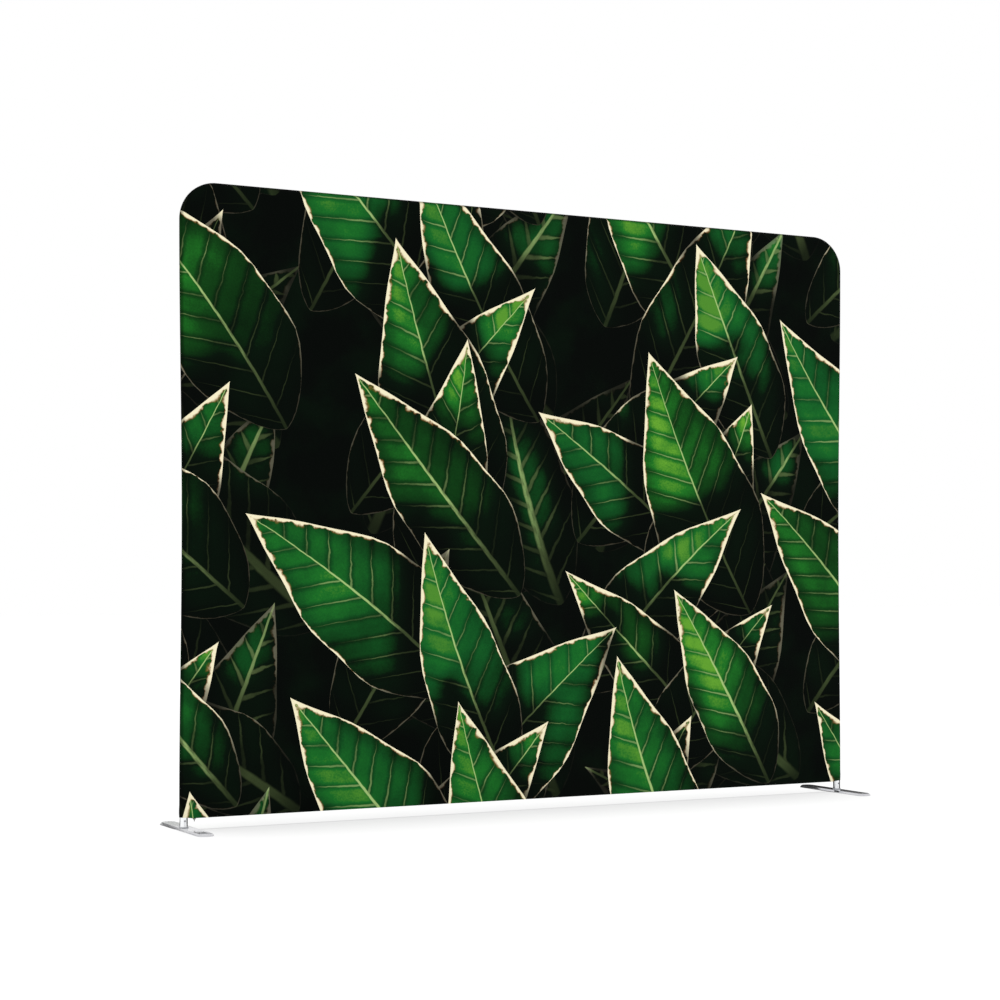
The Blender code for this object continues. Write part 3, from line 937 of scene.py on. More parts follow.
class PathTree:
    """A geometry node tree with named inputs, which ends in one finished mesh."""

    def __init__(self, name: str, *sizes: str, whole: Sequence[str] = ()) -> None:
        """Makes the tree's sockets.

        Args:
            name: The tree's name.
            sizes: The names of its inputs.
            whole: Those that are whole numbers.
        """
        self.tree = bpy.data.node_groups.new(name, "GeometryNodeTree")
        self.graph = Graph(self.tree)
        face = self.tree.interface
        face.new_socket("Path", in_out="INPUT", socket_type="NodeSocketGeometry")
        for label in sizes:
            kind = "NodeSocketInt" if label in whole else "NodeSocketFloat"
            face.new_socket(label, in_out="INPUT", socket_type=kind)
        face.new_socket("Finish", in_out="INPUT", socket_type="NodeSocketMaterial")
        face.new_socket("Piece", in_out="OUTPUT", socket_type="NodeSocketGeometry")
        self.inputs = self.graph.node("NodeGroupInput").outputs

    def curve(self) -> Socket:
        """The path as a curve."""
        return self.graph.out("GeometryNodeMeshToCurve", {"Mesh": self.inputs["Path"]})

    def swept(self, curve: Socket, sides: Source, radius: Source, capped: bool = True) -> Socket:
        """A round wire or tube along a curve.

        Args:
            curve: The curve.
            sides: How many sides it has.
            radius: Its radius.
            capped: Whether its ends are closed.

        Returns:
            The geometry.
        """
        inputs = {"Resolution": sides, "Radius": radius}
        ring = self.graph.out("GeometryNodeCurvePrimitiveCircle", inputs)
        inputs = {"Curve": curve, "Profile Curve": ring, "Fill Caps": capped}
        return self.graph.out("GeometryNodeCurveToMesh", inputs)

    def end(self, geometry: Socket) -> None:
        """Realizes the geometry, sets its finish and gives it out.

        Args:
            geometry: What the tree has made.
        """
        inputs = {"Geometry": geometry, "Shade Smooth": True}
        shaded = self.graph.out("GeometryNodeSetShadeSmooth", inputs)
        real = self.graph.out("GeometryNodeRealizeInstances", {"Geometry": shaded})
        inputs = {"Geometry": real, "Material": self.inputs["Finish"]}
        dressed = self.graph.out("GeometryNodeSetMaterial", inputs)
        self.graph.node("NodeGroupOutput", {"Piece": dressed})

    def grow(
        self,
        name: str,
        line: Sequence[Sequence[float]],
        finish: Finish,
        outward: Sequence[Triple] = (),
        **sizes: float,
    ) -> Object:
        """Runs the tree along a line of points.

        Args:
            name: The name of what grows.
            line: The points.
            finish: Its finish.
            outward: The direction away from the surface at each point.
            sizes: The other inputs, their names in small letters.

        Returns:
            The object, with a plain mesh.
        """
        path = bpy.data.meshes.new(name)
        edges = [(i, i + 1) for i in range(len(line) - 1)]
        path.from_pydata([tuple(point) for point in line], edges, [])
        if outward:
            hold_vectors(path, "outward", "POINT", outward)
        obj = new_object(name, path)
        modifier = obj.modifiers.new(self.tree.name, "NODES")
        modifier.node_group = self.tree
        sockets = {item.name: item.identifier for item in self.tree.interface.items_tree}
        modifier[sockets["Finish"]] = finish.material()
        for size, value in sizes.items():
            modifier[sockets[size.title()]] = value
        return new_object(name, settled(obj))


def tube_tree() -> PathTree:
    """An open tube swept along the path.

    Returns:
        The tree, with the inputs Radius and Sides.
    """
    made = PathTree("swept_tube", "Radius", "Sides", whole=("Sides",))
    made.end(made.swept(made.curve(), made.inputs["Sides"], made.inputs["Radius"], capped=False))
    return made


def stitch_tree() -> PathTree:
    """Arched stitches along the path, standing on the surface and turned alike.

    Returns:
        The tree, with the inputs Pitch, Span, Rise, Thread and Turn.
    """
    made = PathTree("stitch_row", "Pitch", "Span", "Rise", "Thread", "Turn")
    graph, inputs = made.graph, made.inputs
    spacing = {"Curve": made.curve(), "Length": inputs["Pitch"]}
    spaced = graph.out("GeometryNodeResampleCurve", spacing, mode="LENGTH")
    half = graph.times(inputs["Span"], 0.5)
    low = graph.times(inputs["Rise"], -1.0)
    arch = {
        "Resolution": 4,
        "Start": graph.joined(graph.times(half, -1.0), 0.0, low),
        "Middle": graph.joined(z=graph.times(inputs["Rise"], 3.0)),
        "End": graph.joined(half, 0.0, low),
    }
    arch = graph.out("GeometryNodeCurveQuadraticBezier", arch)
    tangent = graph.out("GeometryNodeInputTangent")
    align = "FunctionNodeAlignRotationToVector"
    along = graph.out(align, {"Vector": tangent}, axis="X")
    named = {"Name": "outward"}
    outward = graph.out("GeometryNodeInputNamedAttribute", named, data_type="FLOAT_VECTOR")
    stood = graph.out(align, {"Rotation": along, "Vector": outward}, axis="Z", pivot_axis="X")
    spin = graph.out("FunctionNodeEulerToRotation", {0: graph.joined(z=inputs["Turn"])})
    both = {"Rotation": stood, "Rotate By": spin}
    standing = {
        "Points": spaced,
        "Instance": made.swept(arch, THREAD_SIDES, inputs["Thread"]),
        "Rotation": graph.out("FunctionNodeRotateRotation", both, rotation_space="LOCAL"),
    }
    made.end(graph.out("GeometryNodeInstanceOnPoints", standing))
    return made


def coil_tree() -> PathTree:
    """One unbroken flattened coil from the path's start, along X.

    Returns:
        The tree, with the inputs Turns, Length, Width, Height and Wire.
    """
    made = PathTree("zip_coil", "Turns", "Length", "Width", "Height", "Wire")
    graph, inputs = made.graph, made.inputs
    shift = "GeometryNodeTransform"
    helix = {"Resolution": 8, "Rotations": inputs["Turns"], "Height": inputs["Length"]}
    helix |= {"Start Radius": 0.5, "End Radius": 0.5}
    helix = graph.out("GeometryNodeCurveSpiral", helix)
    flat = graph.joined(inputs["Height"], inputs["Width"], 1.0)
    pressed = graph.out(shift, {"Geometry": helix, "Scale": flat})
    laid = graph.out(shift, {"Geometry": pressed, "Rotation": (0, math.pi / 2, 0)})
    where = {"Geometry": inputs["Path"], "Value": graph.out("GeometryNodeInputPosition")}
    first = graph.out("GeometryNodeSampleIndex", where, data_type="FLOAT_VECTOR")
    moved = graph.out(shift, {"Geometry": laid, "Translation": first})
    made.end(made.swept(moved, THREAD_SIDES, inputs["Wire"]))
    return made


# The frame's own lines


@dataclass(frozen=True)
class FrameLine:
    """The centre line that the frame's tubes and the cover's rim follow."""

    side_x: float = 1.2367
    top_z: float = 1.9787
    bottom_z: float = 0.0529
    corner_radius: float = 0.105
    corner_leg: float = 0.1
    bow: float = 0.008
    gap: float = 0.0003
    step: float = 0.02

    @property
    def arc_x(self) -> float:
        """Where the corners start to bend, along the top."""
        return self.side_x - self.corner_radius

    @property
    def arc_z(self) -> float:
        """The height at which the corners start to bend."""
        return self.top_z - self.corner_radius

    def line_x(self, z: Array | float) -> Array:
        """How far out an upright's axis is at a height, drawn in by the cover's pull."""
        share = np.clip((z - self.bottom_z) / (self.arc_z - self.bottom_z), 0, 1)
        return self.side_x - self.bow * (1 - np.cos(2 * math.pi * share)) / 2

    def upright(self, side: int, z: float) -> Vector:
        """The point of an upright's axis at a height."""
        return Vector((side * float(self.line_x(z)), 0, z))

    def slope(self, side: int, z: float) -> Vector:
        """The direction of an upright's axis at a height."""
        return (self.upright(side, z + self.gap) - self.upright(side, z - self.gap)).normalized()

    def outwards(self, x: Array, z: Array) -> tuple[Array, Array, Array]:
        """How far points lie outside the line, for x not below zero.

        Args:
            x: The points' distance from the middle.
            z: Their heights.

        Returns:
            The distance outwards, and the outward direction's X and Z.
        """
        dx, dz = x - self.arc_x, z - self.arc_z
        radius = np.maximum(np.hypot(dx, dz), 1e-9)
        corner = (dx > 0) & (dz > 0)
        beside, above = x - self.line_x(z), z - self.top_z
        distance = np.where(corner, radius - self.corner_radius, np.maximum(beside, above))
        upper = above > beside
        out_x = np.where(corner, dx / radius, np.where(upper, 0.0, 1.0))
        out_z = np.where(corner, dz / radius, np.where(upper, 1.0, 0.0))
        return distance, out_x, out_z

    def bend(self, offset: float = 0.0) -> list[Pair]:
        """The right corner at an offset outside the line, from the upright to the top.

        Args:
            offset: The distance outwards.

        Returns:
            The (x, z) points.
        """
        angles = [math.pi / 2 * i / BEND_STEPS for i in range(BEND_STEPS + 1)]
        r = self.corner_radius + offset
        return [(self.arc_x + r * math.cos(a), self.arc_z + r * math.sin(a)) for a in angles]

    def half_loop(self, offset: float, low: float) -> list[Pair]:
        """The right half of the line at an offset outside it, up to the middle of the top.

        Args:
            offset: The distance outwards.
            low: The height at which it starts.

        Returns:
            The (x, z) points.
        """
        count = math.ceil((self.arc_z - low) / self.step)
        heights = [low + (self.arc_z - low) * i / count for i in range(count)]
        points = [(float(self.line_x(z)) + offset, z) for z in heights]
        count = math.ceil(self.arc_x / self.step)
        top = [(self.arc_x * (1 - i / count), self.top_z + offset) for i in range(1, count + 1)]
        return points + self.bend(offset) + top

    def loop(self, offset: float, low: float) -> list[Pair]:
        """The whole line at an offset, from the lower right round to the lower left."""
        right = self.half_loop(offset, low)
        return right + [(-x, z) for x, z in reversed(right[:-1])]


LINE = FrameLine()


# The printed cover


@dataclass(frozen=True)
class Leaf:
    """One printed leaf, in the flat coordinates of the cloth."""

    x: float
    z: float
    angle: float
    length: float
    half: float
    bend: float
    tone: float
    soft: float
    hue: float
    own: float

    base_curve: ClassVar[float] = 0.72
    tip_curve: ClassVar[float] = 1.15
    fullest: ClassVar[float] = 0.2902
    wave: ClassVar[float] = 0.035
    waves: ClassVar[float] = 19
    steps: ClassVar[int] = 26

    def local(self, points: Array) -> tuple[Array, Array]:
        """Where points lie on the leaf.

        Args:
            points: The points on the flat cloth.

        Returns:
            Their way along the leaf and their way across it.
        """
        dx, dz = points[:, 0] - self.x, points[:, 1] - self.z
        along = dx * math.cos(self.angle) + dz * math.sin(self.angle)
        across = dz * math.cos(self.angle) - dx * math.sin(self.angle)
        return along, across - self.bend * (along / self.length) ** 2

    def width_at(self, along: Array) -> Array:
        """The leaf's half width: full below the middle, drawn out to a point.

        Args:
            along: Ways along the leaf.

        Returns:
            The half width at each.
        """
        share = np.clip(along / self.length, 0, 1)
        full = share**self.base_curve * (1 - share) ** self.tip_curve / self.fullest
        wave = 1 + self.wave * np.sin(share * self.waves + self.own)
        return self.half * full * wave

    def outline(self) -> list[Pair]:
        """The leaf's outline, run round it once.

        Returns:
            The (x, z) points on the flat cloth.
        """
        turns = range(self.steps + 1)
        shares = [(1 - math.cos(math.pi * i / self.steps)) / 2 for i in turns]
        along = np.array(shares) * self.length
        half = self.width_at(along)
        middle = self.bend * (along / self.length) ** 2
        cos, sin = math.cos(self.angle), math.sin(self.angle)

        def placed(across: Array) -> list[Pair]:
            """The cloth's points at ways across the leaf."""
            x, z = self.x + along * cos - across * sin, self.z + along * sin + across * cos
            return list(zip(x.tolist(), z.tolist()))

        return placed(middle - half) + placed(middle + half)[-2:0:-1]

    def distance(self, points: Array) -> Array:
        """About how far points lie outside the leaf.

        Args:
            points: The points on the flat cloth.

        Returns:
            The distances, 0 on the leaf.
        """
        along, across = self.local(points)
        past = np.maximum(along - self.length, 0) + np.maximum(-along, 0)
        beside = np.maximum(np.abs(across) - self.width_at(along), 0)
        return np.hypot(past, beside)


@dataclass(frozen=True)
class LeafPrint:
    """A layout of leaves in leaning rows, each row over the one above it."""

    seed: int
    pitch_x: float = 0.47
    pitch_z: float = 0.32
    lean: float = 38.0
    turn: float = 17.0
    length: Pair = (0.72, 1.02)
    slimness: Pair = (0.17, 0.235)
    bend: float = 0.16
    stray_x: float = 0.2
    stray_z: float = 0.3
    tone: Pair = (0.55, 1.05)
    back_tone: Pair = (0.34, 0.64)
    soft: Pair = (0.0, 0.25)
    back_soft: Pair = (0.7, 1.0)
    most_hue: float = 0.5
    most_own: float = 10
    back_shift: float = 0.25
    reach_x: float = 1.45
    low_z: float = -0.65
    high_z: float = 2.0
    light: Pair = (0.03, -0.035)
    shade_reach: Pair = (0.065, 0.04)
    shade_depth: Pair = (0.88, -0.4)

    def row(self, dice: random.Random, level: float, shift: float, back: bool) -> list[Leaf]:
        """The leaves of one row.

        Args:
            dice: The seeded generator.
            level: The row's height.
            shift: How far the row is set over, as a share of the pitch.
            back: Whether the row belongs to the dim leaves behind.

        Returns:
            The leaves from left to right.
        """

        def either_way(most: float) -> float:
            """A draw from below zero to as far above it."""
            return dice.uniform(-most, most)

        found = []
        count = int(2 * self.reach_x / self.pitch_x)
        for i in range(count + 1):
            lean = self.lean if (i + round(level / self.pitch_z)) % 2 else -self.lean
            angle = math.radians(90 + lean + either_way(self.turn))
            length = dice.uniform(*self.length)
            x = -self.reach_x + (i + shift + either_way(self.stray_x)) * self.pitch_x
            z = level + either_way(self.stray_z) * self.pitch_z
            half = length * dice.uniform(*self.slimness)
            bend = length * either_way(self.bend)
            tone = dice.uniform(*(self.back_tone if back else self.tone))
            soft = dice.uniform(*(self.back_soft if back else self.soft))
            hue = dice.uniform(0, self.most_hue)
            own = dice.uniform(0, self.most_own)
            found.append(Leaf(x, z, angle, length, half, bend, tone, soft, hue, own))
        return found

    def leaves(self) -> list[Leaf]:
        """All the leaves of the layout.

        Returns:
            The leaves, the furthest first.
        """
        dice = random.Random(self.seed)
        found: list[Leaf] = []
        rows = int((self.high_z - self.low_z) / self.pitch_z)
        for back in (True, False):
            for i in range(rows, -1, -1):
                shift = 0.5 * (i % 2) + (self.back_shift if back else 0)
                found += self.row(dice, self.low_z + i * self.pitch_z, shift, back)
        return found

    def lit(self, leaves: Sequence[Leaf], points: Array, order: Array) -> Array:
        """The light that is left on printed points by the leaves above them.

        Args:
            leaves: The leaves, the furthest first.
            points: The points on the flat cloth.
            order: The number of the leaf each point shows, or -1.

        Returns:
            The light, 0 to 1.
        """
        light = np.ones(len(points))
        moved = points + np.array(self.light)
        (reach, softer_reach), (depth, softer_depth) = self.shade_reach, self.shade_depth
        for number, leaf in enumerate(leaves):
            under = order < number
            if not under.any():
                continue
            blurred = reach + softer_reach * leaf.soft
            near = np.exp(-((leaf.distance(moved[under]) / blurred) ** 2))
            light[under] *= 1 - (depth + softer_depth * leaf.soft) * near
        return light


@dataclass
class CoverCloth:
    """One half of the cover: its face, its wrap round the frame and its turned underside."""

    face: Face
    print_layout: LeafPrint
    offset: float = 0.0133
    thickness: float = 0.0005
    middle_gap: float = 0.00015
    hem_radius: float = 0.0025
    hem_rise: float = 0.0035
    hem_runs_out: Pair = (0.005, 0.015)
    rise_width: float = 0.024
    slot_half: float = 0.0049
    slot_end: float = 1.212
    slot_jump: float = 1e-5
    strip_runs_out: Pair = (0.002, 0.005)
    opening_radius: float = 0.0128
    opening_sweep: float = math.radians(80)
    opening_last: float = 0.0015
    swell: float = 0.00035
    swell_turn: tuple[float, ...] = (0.6, 0.86, 0.88)
    flare: float = 0.0009
    flare_turn: Pair = (0.2, 1.2)
    flare_z: float = 0.056
    flare_half: float = 0.011
    slot_steps: int = 60
    opening_steps: int = 23
    rim_steps: int = 9
    hem_steps: int = 3
    hem_end: float = 0.006
    grid: float = 0.024
    grid_low: float = 0.06
    grid_squash: float = 0.95
    grid_inset: float = 0.022
    ghost_offsets: tuple[float, ...] = (-0.008, -0.0125, -0.017)
    split_gap: float = 1e-7
    sharp_angle: float = math.radians(50)
    base_light: Pair = (0.05, 0.4)
    base_reach: Pair = (0.05, 0.72)

    @property
    def last_angle(self) -> float:
        """The angle round the rim at which the cloth meets the other half."""
        return math.acos(self.middle_gap / self.offset)

    @property
    def last_offset(self) -> float:
        """The way round the rim to the seam."""
        return self.offset * self.last_angle

    def cut_z(self, x: Array) -> Array:
        """The level of the cover's lower edge, which rises round the uprights."""
        rise = smoothstep(x, LINE.side_x - self.rise_width, LINE.side_x)
        return UNDERSIDE_Z + self.hem_rise * rise

    def hem_at(self, x: Array) -> Array:
        """The radius of the fold at the lower edge. It runs out before the uprights."""
        return self.hem_radius * smoothstep(LINE.side_x - x, *self.hem_runs_out)

    def strip_at(self, x: Array) -> Array:
        """How wide the cloth is under the panel, from the fold to the zip or the opening.

        Args:
            x: Distances from the middle.

        Returns:
            The width at each.
        """
        start = -self.offset + self.hem_at(x)
        beside = np.maximum(self.opening_radius**2 - (LINE.side_x - x) ** 2, 0)
        opening = np.minimum(-np.sqrt(beside), -self.middle_gap)
        end = np.where(x < self.slot_end, -self.slot_half, opening)
        return np.maximum(end - start, 0) * smoothstep(LINE.side_x - x, *self.strip_runs_out)

    def lowest(self, x: Array) -> Array:
        """The flat cloth's lower edge."""
        return self.cut_z(x) + self.hem_at(x) * (1 - math.pi / 2) - self.strip_at(x)

    def place(self, flat: Array) -> Array:
        """Wraps points of the flat cloth round the frame.

        Args:
            flat: The points as (x, z).

        Returns:
            The points in space.
        """
        sign = np.where(flat[:, 0] < 0, -1.0, 1.0)
        x, z = np.abs(flat[:, 0]), flat[:, 1]
        distance, out_x, out_z = LINE.outwards(x, z)
        round_rim = np.clip(distance, 0, self.last_offset)
        angle = round_rim / self.offset
        last = self.last_angle
        starts, full, falls = (share * last for share in self.swell_turn)

        # The cloth swells beside the seam, and flares where it leaves the upright's foot.
        swelling = self.swell * smoothstep(angle, starts, full)
        swelling = swelling * smoothstep(angle, last, falls)
        flaring = self.flare * np.exp(-(((z - self.flare_z) / self.flare_half) ** 2))
        radius = self.offset + swelling + flaring * smoothstep(angle, *self.flare_turn)
        lateral = radius * np.sin(angle) - round_rim
        px, pz = x + out_x * lateral, z + out_z * lateral
        inward = self.offset - radius * np.cos(angle)

        # Below the lower edge it folds in and runs on level.
        hem = np.maximum(self.hem_at(x), 1e-6)
        fold_z = self.cut_z(x) + hem
        below = np.where(distance <= 0, np.maximum(fold_z - z, 0), 0)
        turn = np.minimum(below / hem, math.pi / 2)
        inward = inward + hem * (1 - np.cos(turn)) + np.maximum(below - hem * math.pi / 2, 0)
        pz = np.where(below > 0, fold_z - hem * np.sin(turn), pz)
        y = self.face.value * (self.offset - inward)
        return np.stack([sign * px, y, pz], 1)

    def lower_xs(self) -> list[float]:
        """Where the lower edge has points, on the right half.

        Returns:
            The distances from the middle to the end of the right upright's opening.
        """
        slot = np.linspace(0, self.slot_end - self.slot_jump, self.slot_steps + 1)
        sweep = np.linspace(0, self.opening_sweep, self.opening_steps + 1)
        opening = LINE.side_x - self.opening_radius * np.cos(sweep)
        ends = [LINE.side_x - self.opening_last, LINE.side_x]
        return [*slot, self.slot_end + self.slot_jump, *opening, *ends]

    def domain(self) -> list[Pair]:
        """The flat cloth's outline, run round it once.

        Returns:
            The (x, z) points.
        """
        every = mirrored(self.lower_xs())
        bottom = list(zip(every, self.lowest(np.abs(np.array(every))).tolist()))
        return bottom + LINE.loop(self.last_offset, UNDERSIDE_Z + self.hem_rise)

    def triangles(self, leaves: Sequence[Leaf]) -> tuple[Array, Array, Array]:
        """Splits the flat cloth along the rim, the folds and every leaf's outline.

        Args:
            leaves: The printed leaves.

        Returns:
            The flat points, the triangles and the number of the leaf that each shows, or -1.
        """
        points: list[Pair] = []
        edges: list[tuple[int, int]] = []
        faces: list[list[int]] = []

        def add(line: Sequence[Pair], closed: bool = False) -> None:
            """Adds a closed outline as a face, or an open line as edges.

            Args:
                line: Its (x, z) points.
                closed: Whether it is an outline.
            """
            numbers = list(range(len(points), len(points) + len(line)))
            points.extend(line)
            if closed:
                faces.append(numbers)
            else:
                edges.extend(zip(numbers, numbers[1:]))

        add(self.domain(), True)
        for leaf in leaves:
            add(leaf.outline(), True)
        for i in range(self.rim_steps):
            add(LINE.loop(self.last_offset * i / self.rim_steps, UNDERSIDE_Z + self.hem_rise))
        # Mesh lines along the painted shade of the tube's inner side.
        for offset in self.ghost_offsets:
            add(LINE.loop(offset, UNDERSIDE_Z + 2 * self.hem_radius))
        every = np.array(mirrored([x for x in self.lower_xs() if x < LINE.side_x - self.hem_end]))
        for i in range(self.hem_steps + 1):
            turned_in = 1 - math.pi / 2 * i / self.hem_steps
            level = self.cut_z(np.abs(every)) + self.hem_at(np.abs(every)) * turned_in
            add(list(zip(every.tolist(), level.tolist())))
        for i in range(int(2 * LINE.side_x / self.grid)):
            for j in range(int(LINE.top_z / self.grid)):
                x = -LINE.side_x + (i + 0.5 * (j % 2) + 0.5) * self.grid
                z = self.grid_low + j * self.grid * self.grid_squash
                if float(LINE.outwards(np.array(abs(x)), np.array(z))[0]) < -self.grid_inset:
                    points.append((x, z))

        spots = [Vector(point) for point in points]
        made = delaunay_2d_cdt(spots, edges, faces, 1, self.split_gap, True)
        kept = [(tri, origins) for tri, origins in zip(made[2], made[5]) if 0 in origins]
        shown = np.array([max(origins) - 1 for _, origins in kept])
        flat = np.array([tuple(point) for point in made[0]])
        used, tris = np.unique(np.array([tri for tri, _ in kept]), return_inverse=True)
        return flat[used], tris.reshape(-1, 3), shown

    def paint(self, mesh: Mesh, points: Array, shown: Array, leaves: Sequence[Leaf]) -> None:
        """Writes what is printed at every corner of the mesh.

        Args:
            mesh: The cloth's mesh.
            points: The flat place of each corner.
            shown: The leaf that each corner shows, or -1.
            leaves: The printed leaves.
        """
        place, light, sort = (np.zeros((len(points), 3), np.float32) for _ in range(3))
        place[:, 2] = -1
        left = self.print_layout.lit(leaves, points, shown)
        least, softer = self.base_light
        for number, leaf in enumerate(leaves):
            mine = shown == number
            if not mine.any():
                continue
            along, across = leaf.local(points[mine])
            share = np.clip(along / leaf.length, 0, 1)
            dimmest = least + softer * leaf.soft
            base = dimmest + (1 - dimmest) * smoothstep(share, *self.base_reach)
            place[mine] = np.stack([along, across, leaf.width_at(along)], 1)
            light[mine] = np.stack([share, left[mine] * base, np.full(len(share), leaf.soft)], 1)
            sort[mine] = (leaf.tone, leaf.hue, leaf.own)
        for name, values in (("leaf_place", place), ("leaf_light", light), ("leaf_sort", sort)):
            hold_vectors(mesh, name, "CORNER", values)
        uv = mesh.uv_layers.new(name="cloth")
        uv.data.foreach_set("uv", points.astype(np.float32).ravel())
        inward = -LINE.outwards(np.abs(points[:, 0]), points[:, 1])[0]
        hold_vectors(mesh, "cloth_edge", "CORNER", np.repeat(inward[:, None], 3, 1))

    def build(self) -> Object:
        """Makes the cloth, with its print outside and its plain face inside.

        Returns:
            The cloth.
        """
        leaves = self.print_layout.leaves()
        flat, tris, shown = self.triangles(leaves)
        if self.face is Face.BACK:
            tris = tris[:, ::-1]
        outer = self.place(flat)
        count = len(flat)
        probe = bpy.data.meshes.new("cloth_probe")
        probe.from_pydata(outer.tolist(), [], tris.tolist())
        normals = np.zeros(count * 3, np.float32)
        probe.vertices.foreach_get("normal", normals)
        bpy.data.meshes.remove(probe)
        inner = outer - normals.reshape(-1, 3) * self.thickness

        # The two faces are joined by a wall along every edge that has one triangle.
        halves = np.concatenate([tris[:, [0, 1]], tris[:, [1, 2]], tris[:, [2, 0]]]).tolist()
        known = {tuple(edge) for edge in halves}
        rim = [(a, b, o) for (a, b), o in zip(halves, np.tile(shown, 3)) if (b, a) not in known]
        walls = [(b, a, a + count, b + count) for a, b, _ in rim]
        faces = tris.tolist() + (tris[:, ::-1] + count).tolist() + walls
        name = f"cover_{self.face.word}_cloth"
        mesh = bpy.data.meshes.new(name)
        mesh.from_pydata(outer.tolist() + inner.tolist(), [], faces)
        numbers = np.zeros(len(mesh.loops), np.int32)
        mesh.loops.foreach_get("vertex_index", numbers)
        on_walls = np.repeat(np.array([o for _, _, o in rim]), 4)
        on_corners = np.concatenate([np.repeat(shown, 3), np.repeat(shown, 3), on_walls])
        self.paint(mesh, flat[numbers % count], on_corners, leaves)
        for finish in (PRINTED_KNIT, INNER_KNIT):
            mesh.materials.append(finish.material())
        kinds = np.zeros(len(faces), np.int32)
        kinds[len(tris) : 2 * len(tris)] = 1
        mesh.polygons.foreach_set("material_index", kinds)
        obj = new_object(name, smoothed(mesh, self.sharp_angle))
        # The photographed feet mirror a white surround and not the panel.
        obj.visible_glossy = False
        keep(obj, FRAME_BODY, "cover_fabric", f"cover_{self.face.word}")
        return obj


def mirrored(xs: list[float]) -> list[float]:
    """Distances from the middle, the first of them 0, run from the left end to the right."""
    return [-x for x in reversed(xs[1:])] + xs


@dataclass(frozen=True)
class Stitch:
    """The size of a stitch, its turn from the row's line and the way to the next one."""

    pitch: float
    span: float
    rise: float
    thread: float
    turn: float = 0.0


@dataclass
class Cover:
    """The two-sided cover: its cloths, the seam round its rim and the stitches of its zip."""

    front_seed: int = 11
    back_seed: int = 29
    seam_radius: float = 0.01335
    seam_low: float = 0.042
    seam_stitch: Stitch = Stitch(0.0042, 0.0034, 0.0002, 0.0002, math.radians(62))
    row_y: float = 0.0078
    row_z: float = 0.03638
    row_points: int = 80
    row_stitch: Stitch = Stitch(0.0032, 0.0026, 0.00012, 0.00018)

    def seam(self, stitches: PathTree) -> None:
        """Slanting stitches along the seam where the two halves meet.

        Args:
            stitches: The tree of stitches.
        """
        spots, outward = [], []
        for x, z in LINE.loop(self.seam_radius, self.seam_low):
            _, out_x, out_z = LINE.outwards(np.array(abs(x)), np.array(z))
            spots.append((x, 0.0, z))
            outward.append((math.copysign(float(out_x), x) if out_x else 0.0, 0.0, float(out_z)))
        sizes = asdict(self.seam_stitch)
        obj = stitches.grow("cover_seam_stitches", spots, SEAM_THREAD, outward, **sizes)
        keep(obj, FRAME_BODY, "cover_fabric")

    def zip_stitches(self, stitches: PathTree, face: Face) -> None:
        """The row that sews a zip tape to the underside.

        Args:
            stitches: The tree of stitches.
            face: The side of the zip.
        """
        name = f"zip_stitches_{face.word}"
        xs = np.linspace(-ZIP_HALF, ZIP_HALF, self.row_points)
        spots = [(x, face.value * self.row_y, self.row_z) for x in xs]
        down = [(0.0, 0.0, -1.0)] * len(spots)
        obj = stitches.grow(name, spots, TAPE_THREAD, down, **asdict(self.row_stitch))
        keep(obj, FRAME_BODY, "zip_tape")

    def build(self, stitches: PathTree) -> None:
        """Makes both cloths and all the stitches.

        Args:
            stitches: The tree of stitches.
        """
        self.seam(stitches)
        for face, seed in ((Face.FRONT, self.front_seed), (Face.BACK, self.back_seed)):
            cloth = CoverCloth(face, LeafPrint(seed)).build()
            self.zip_stitches(stitches, face)


# The zip


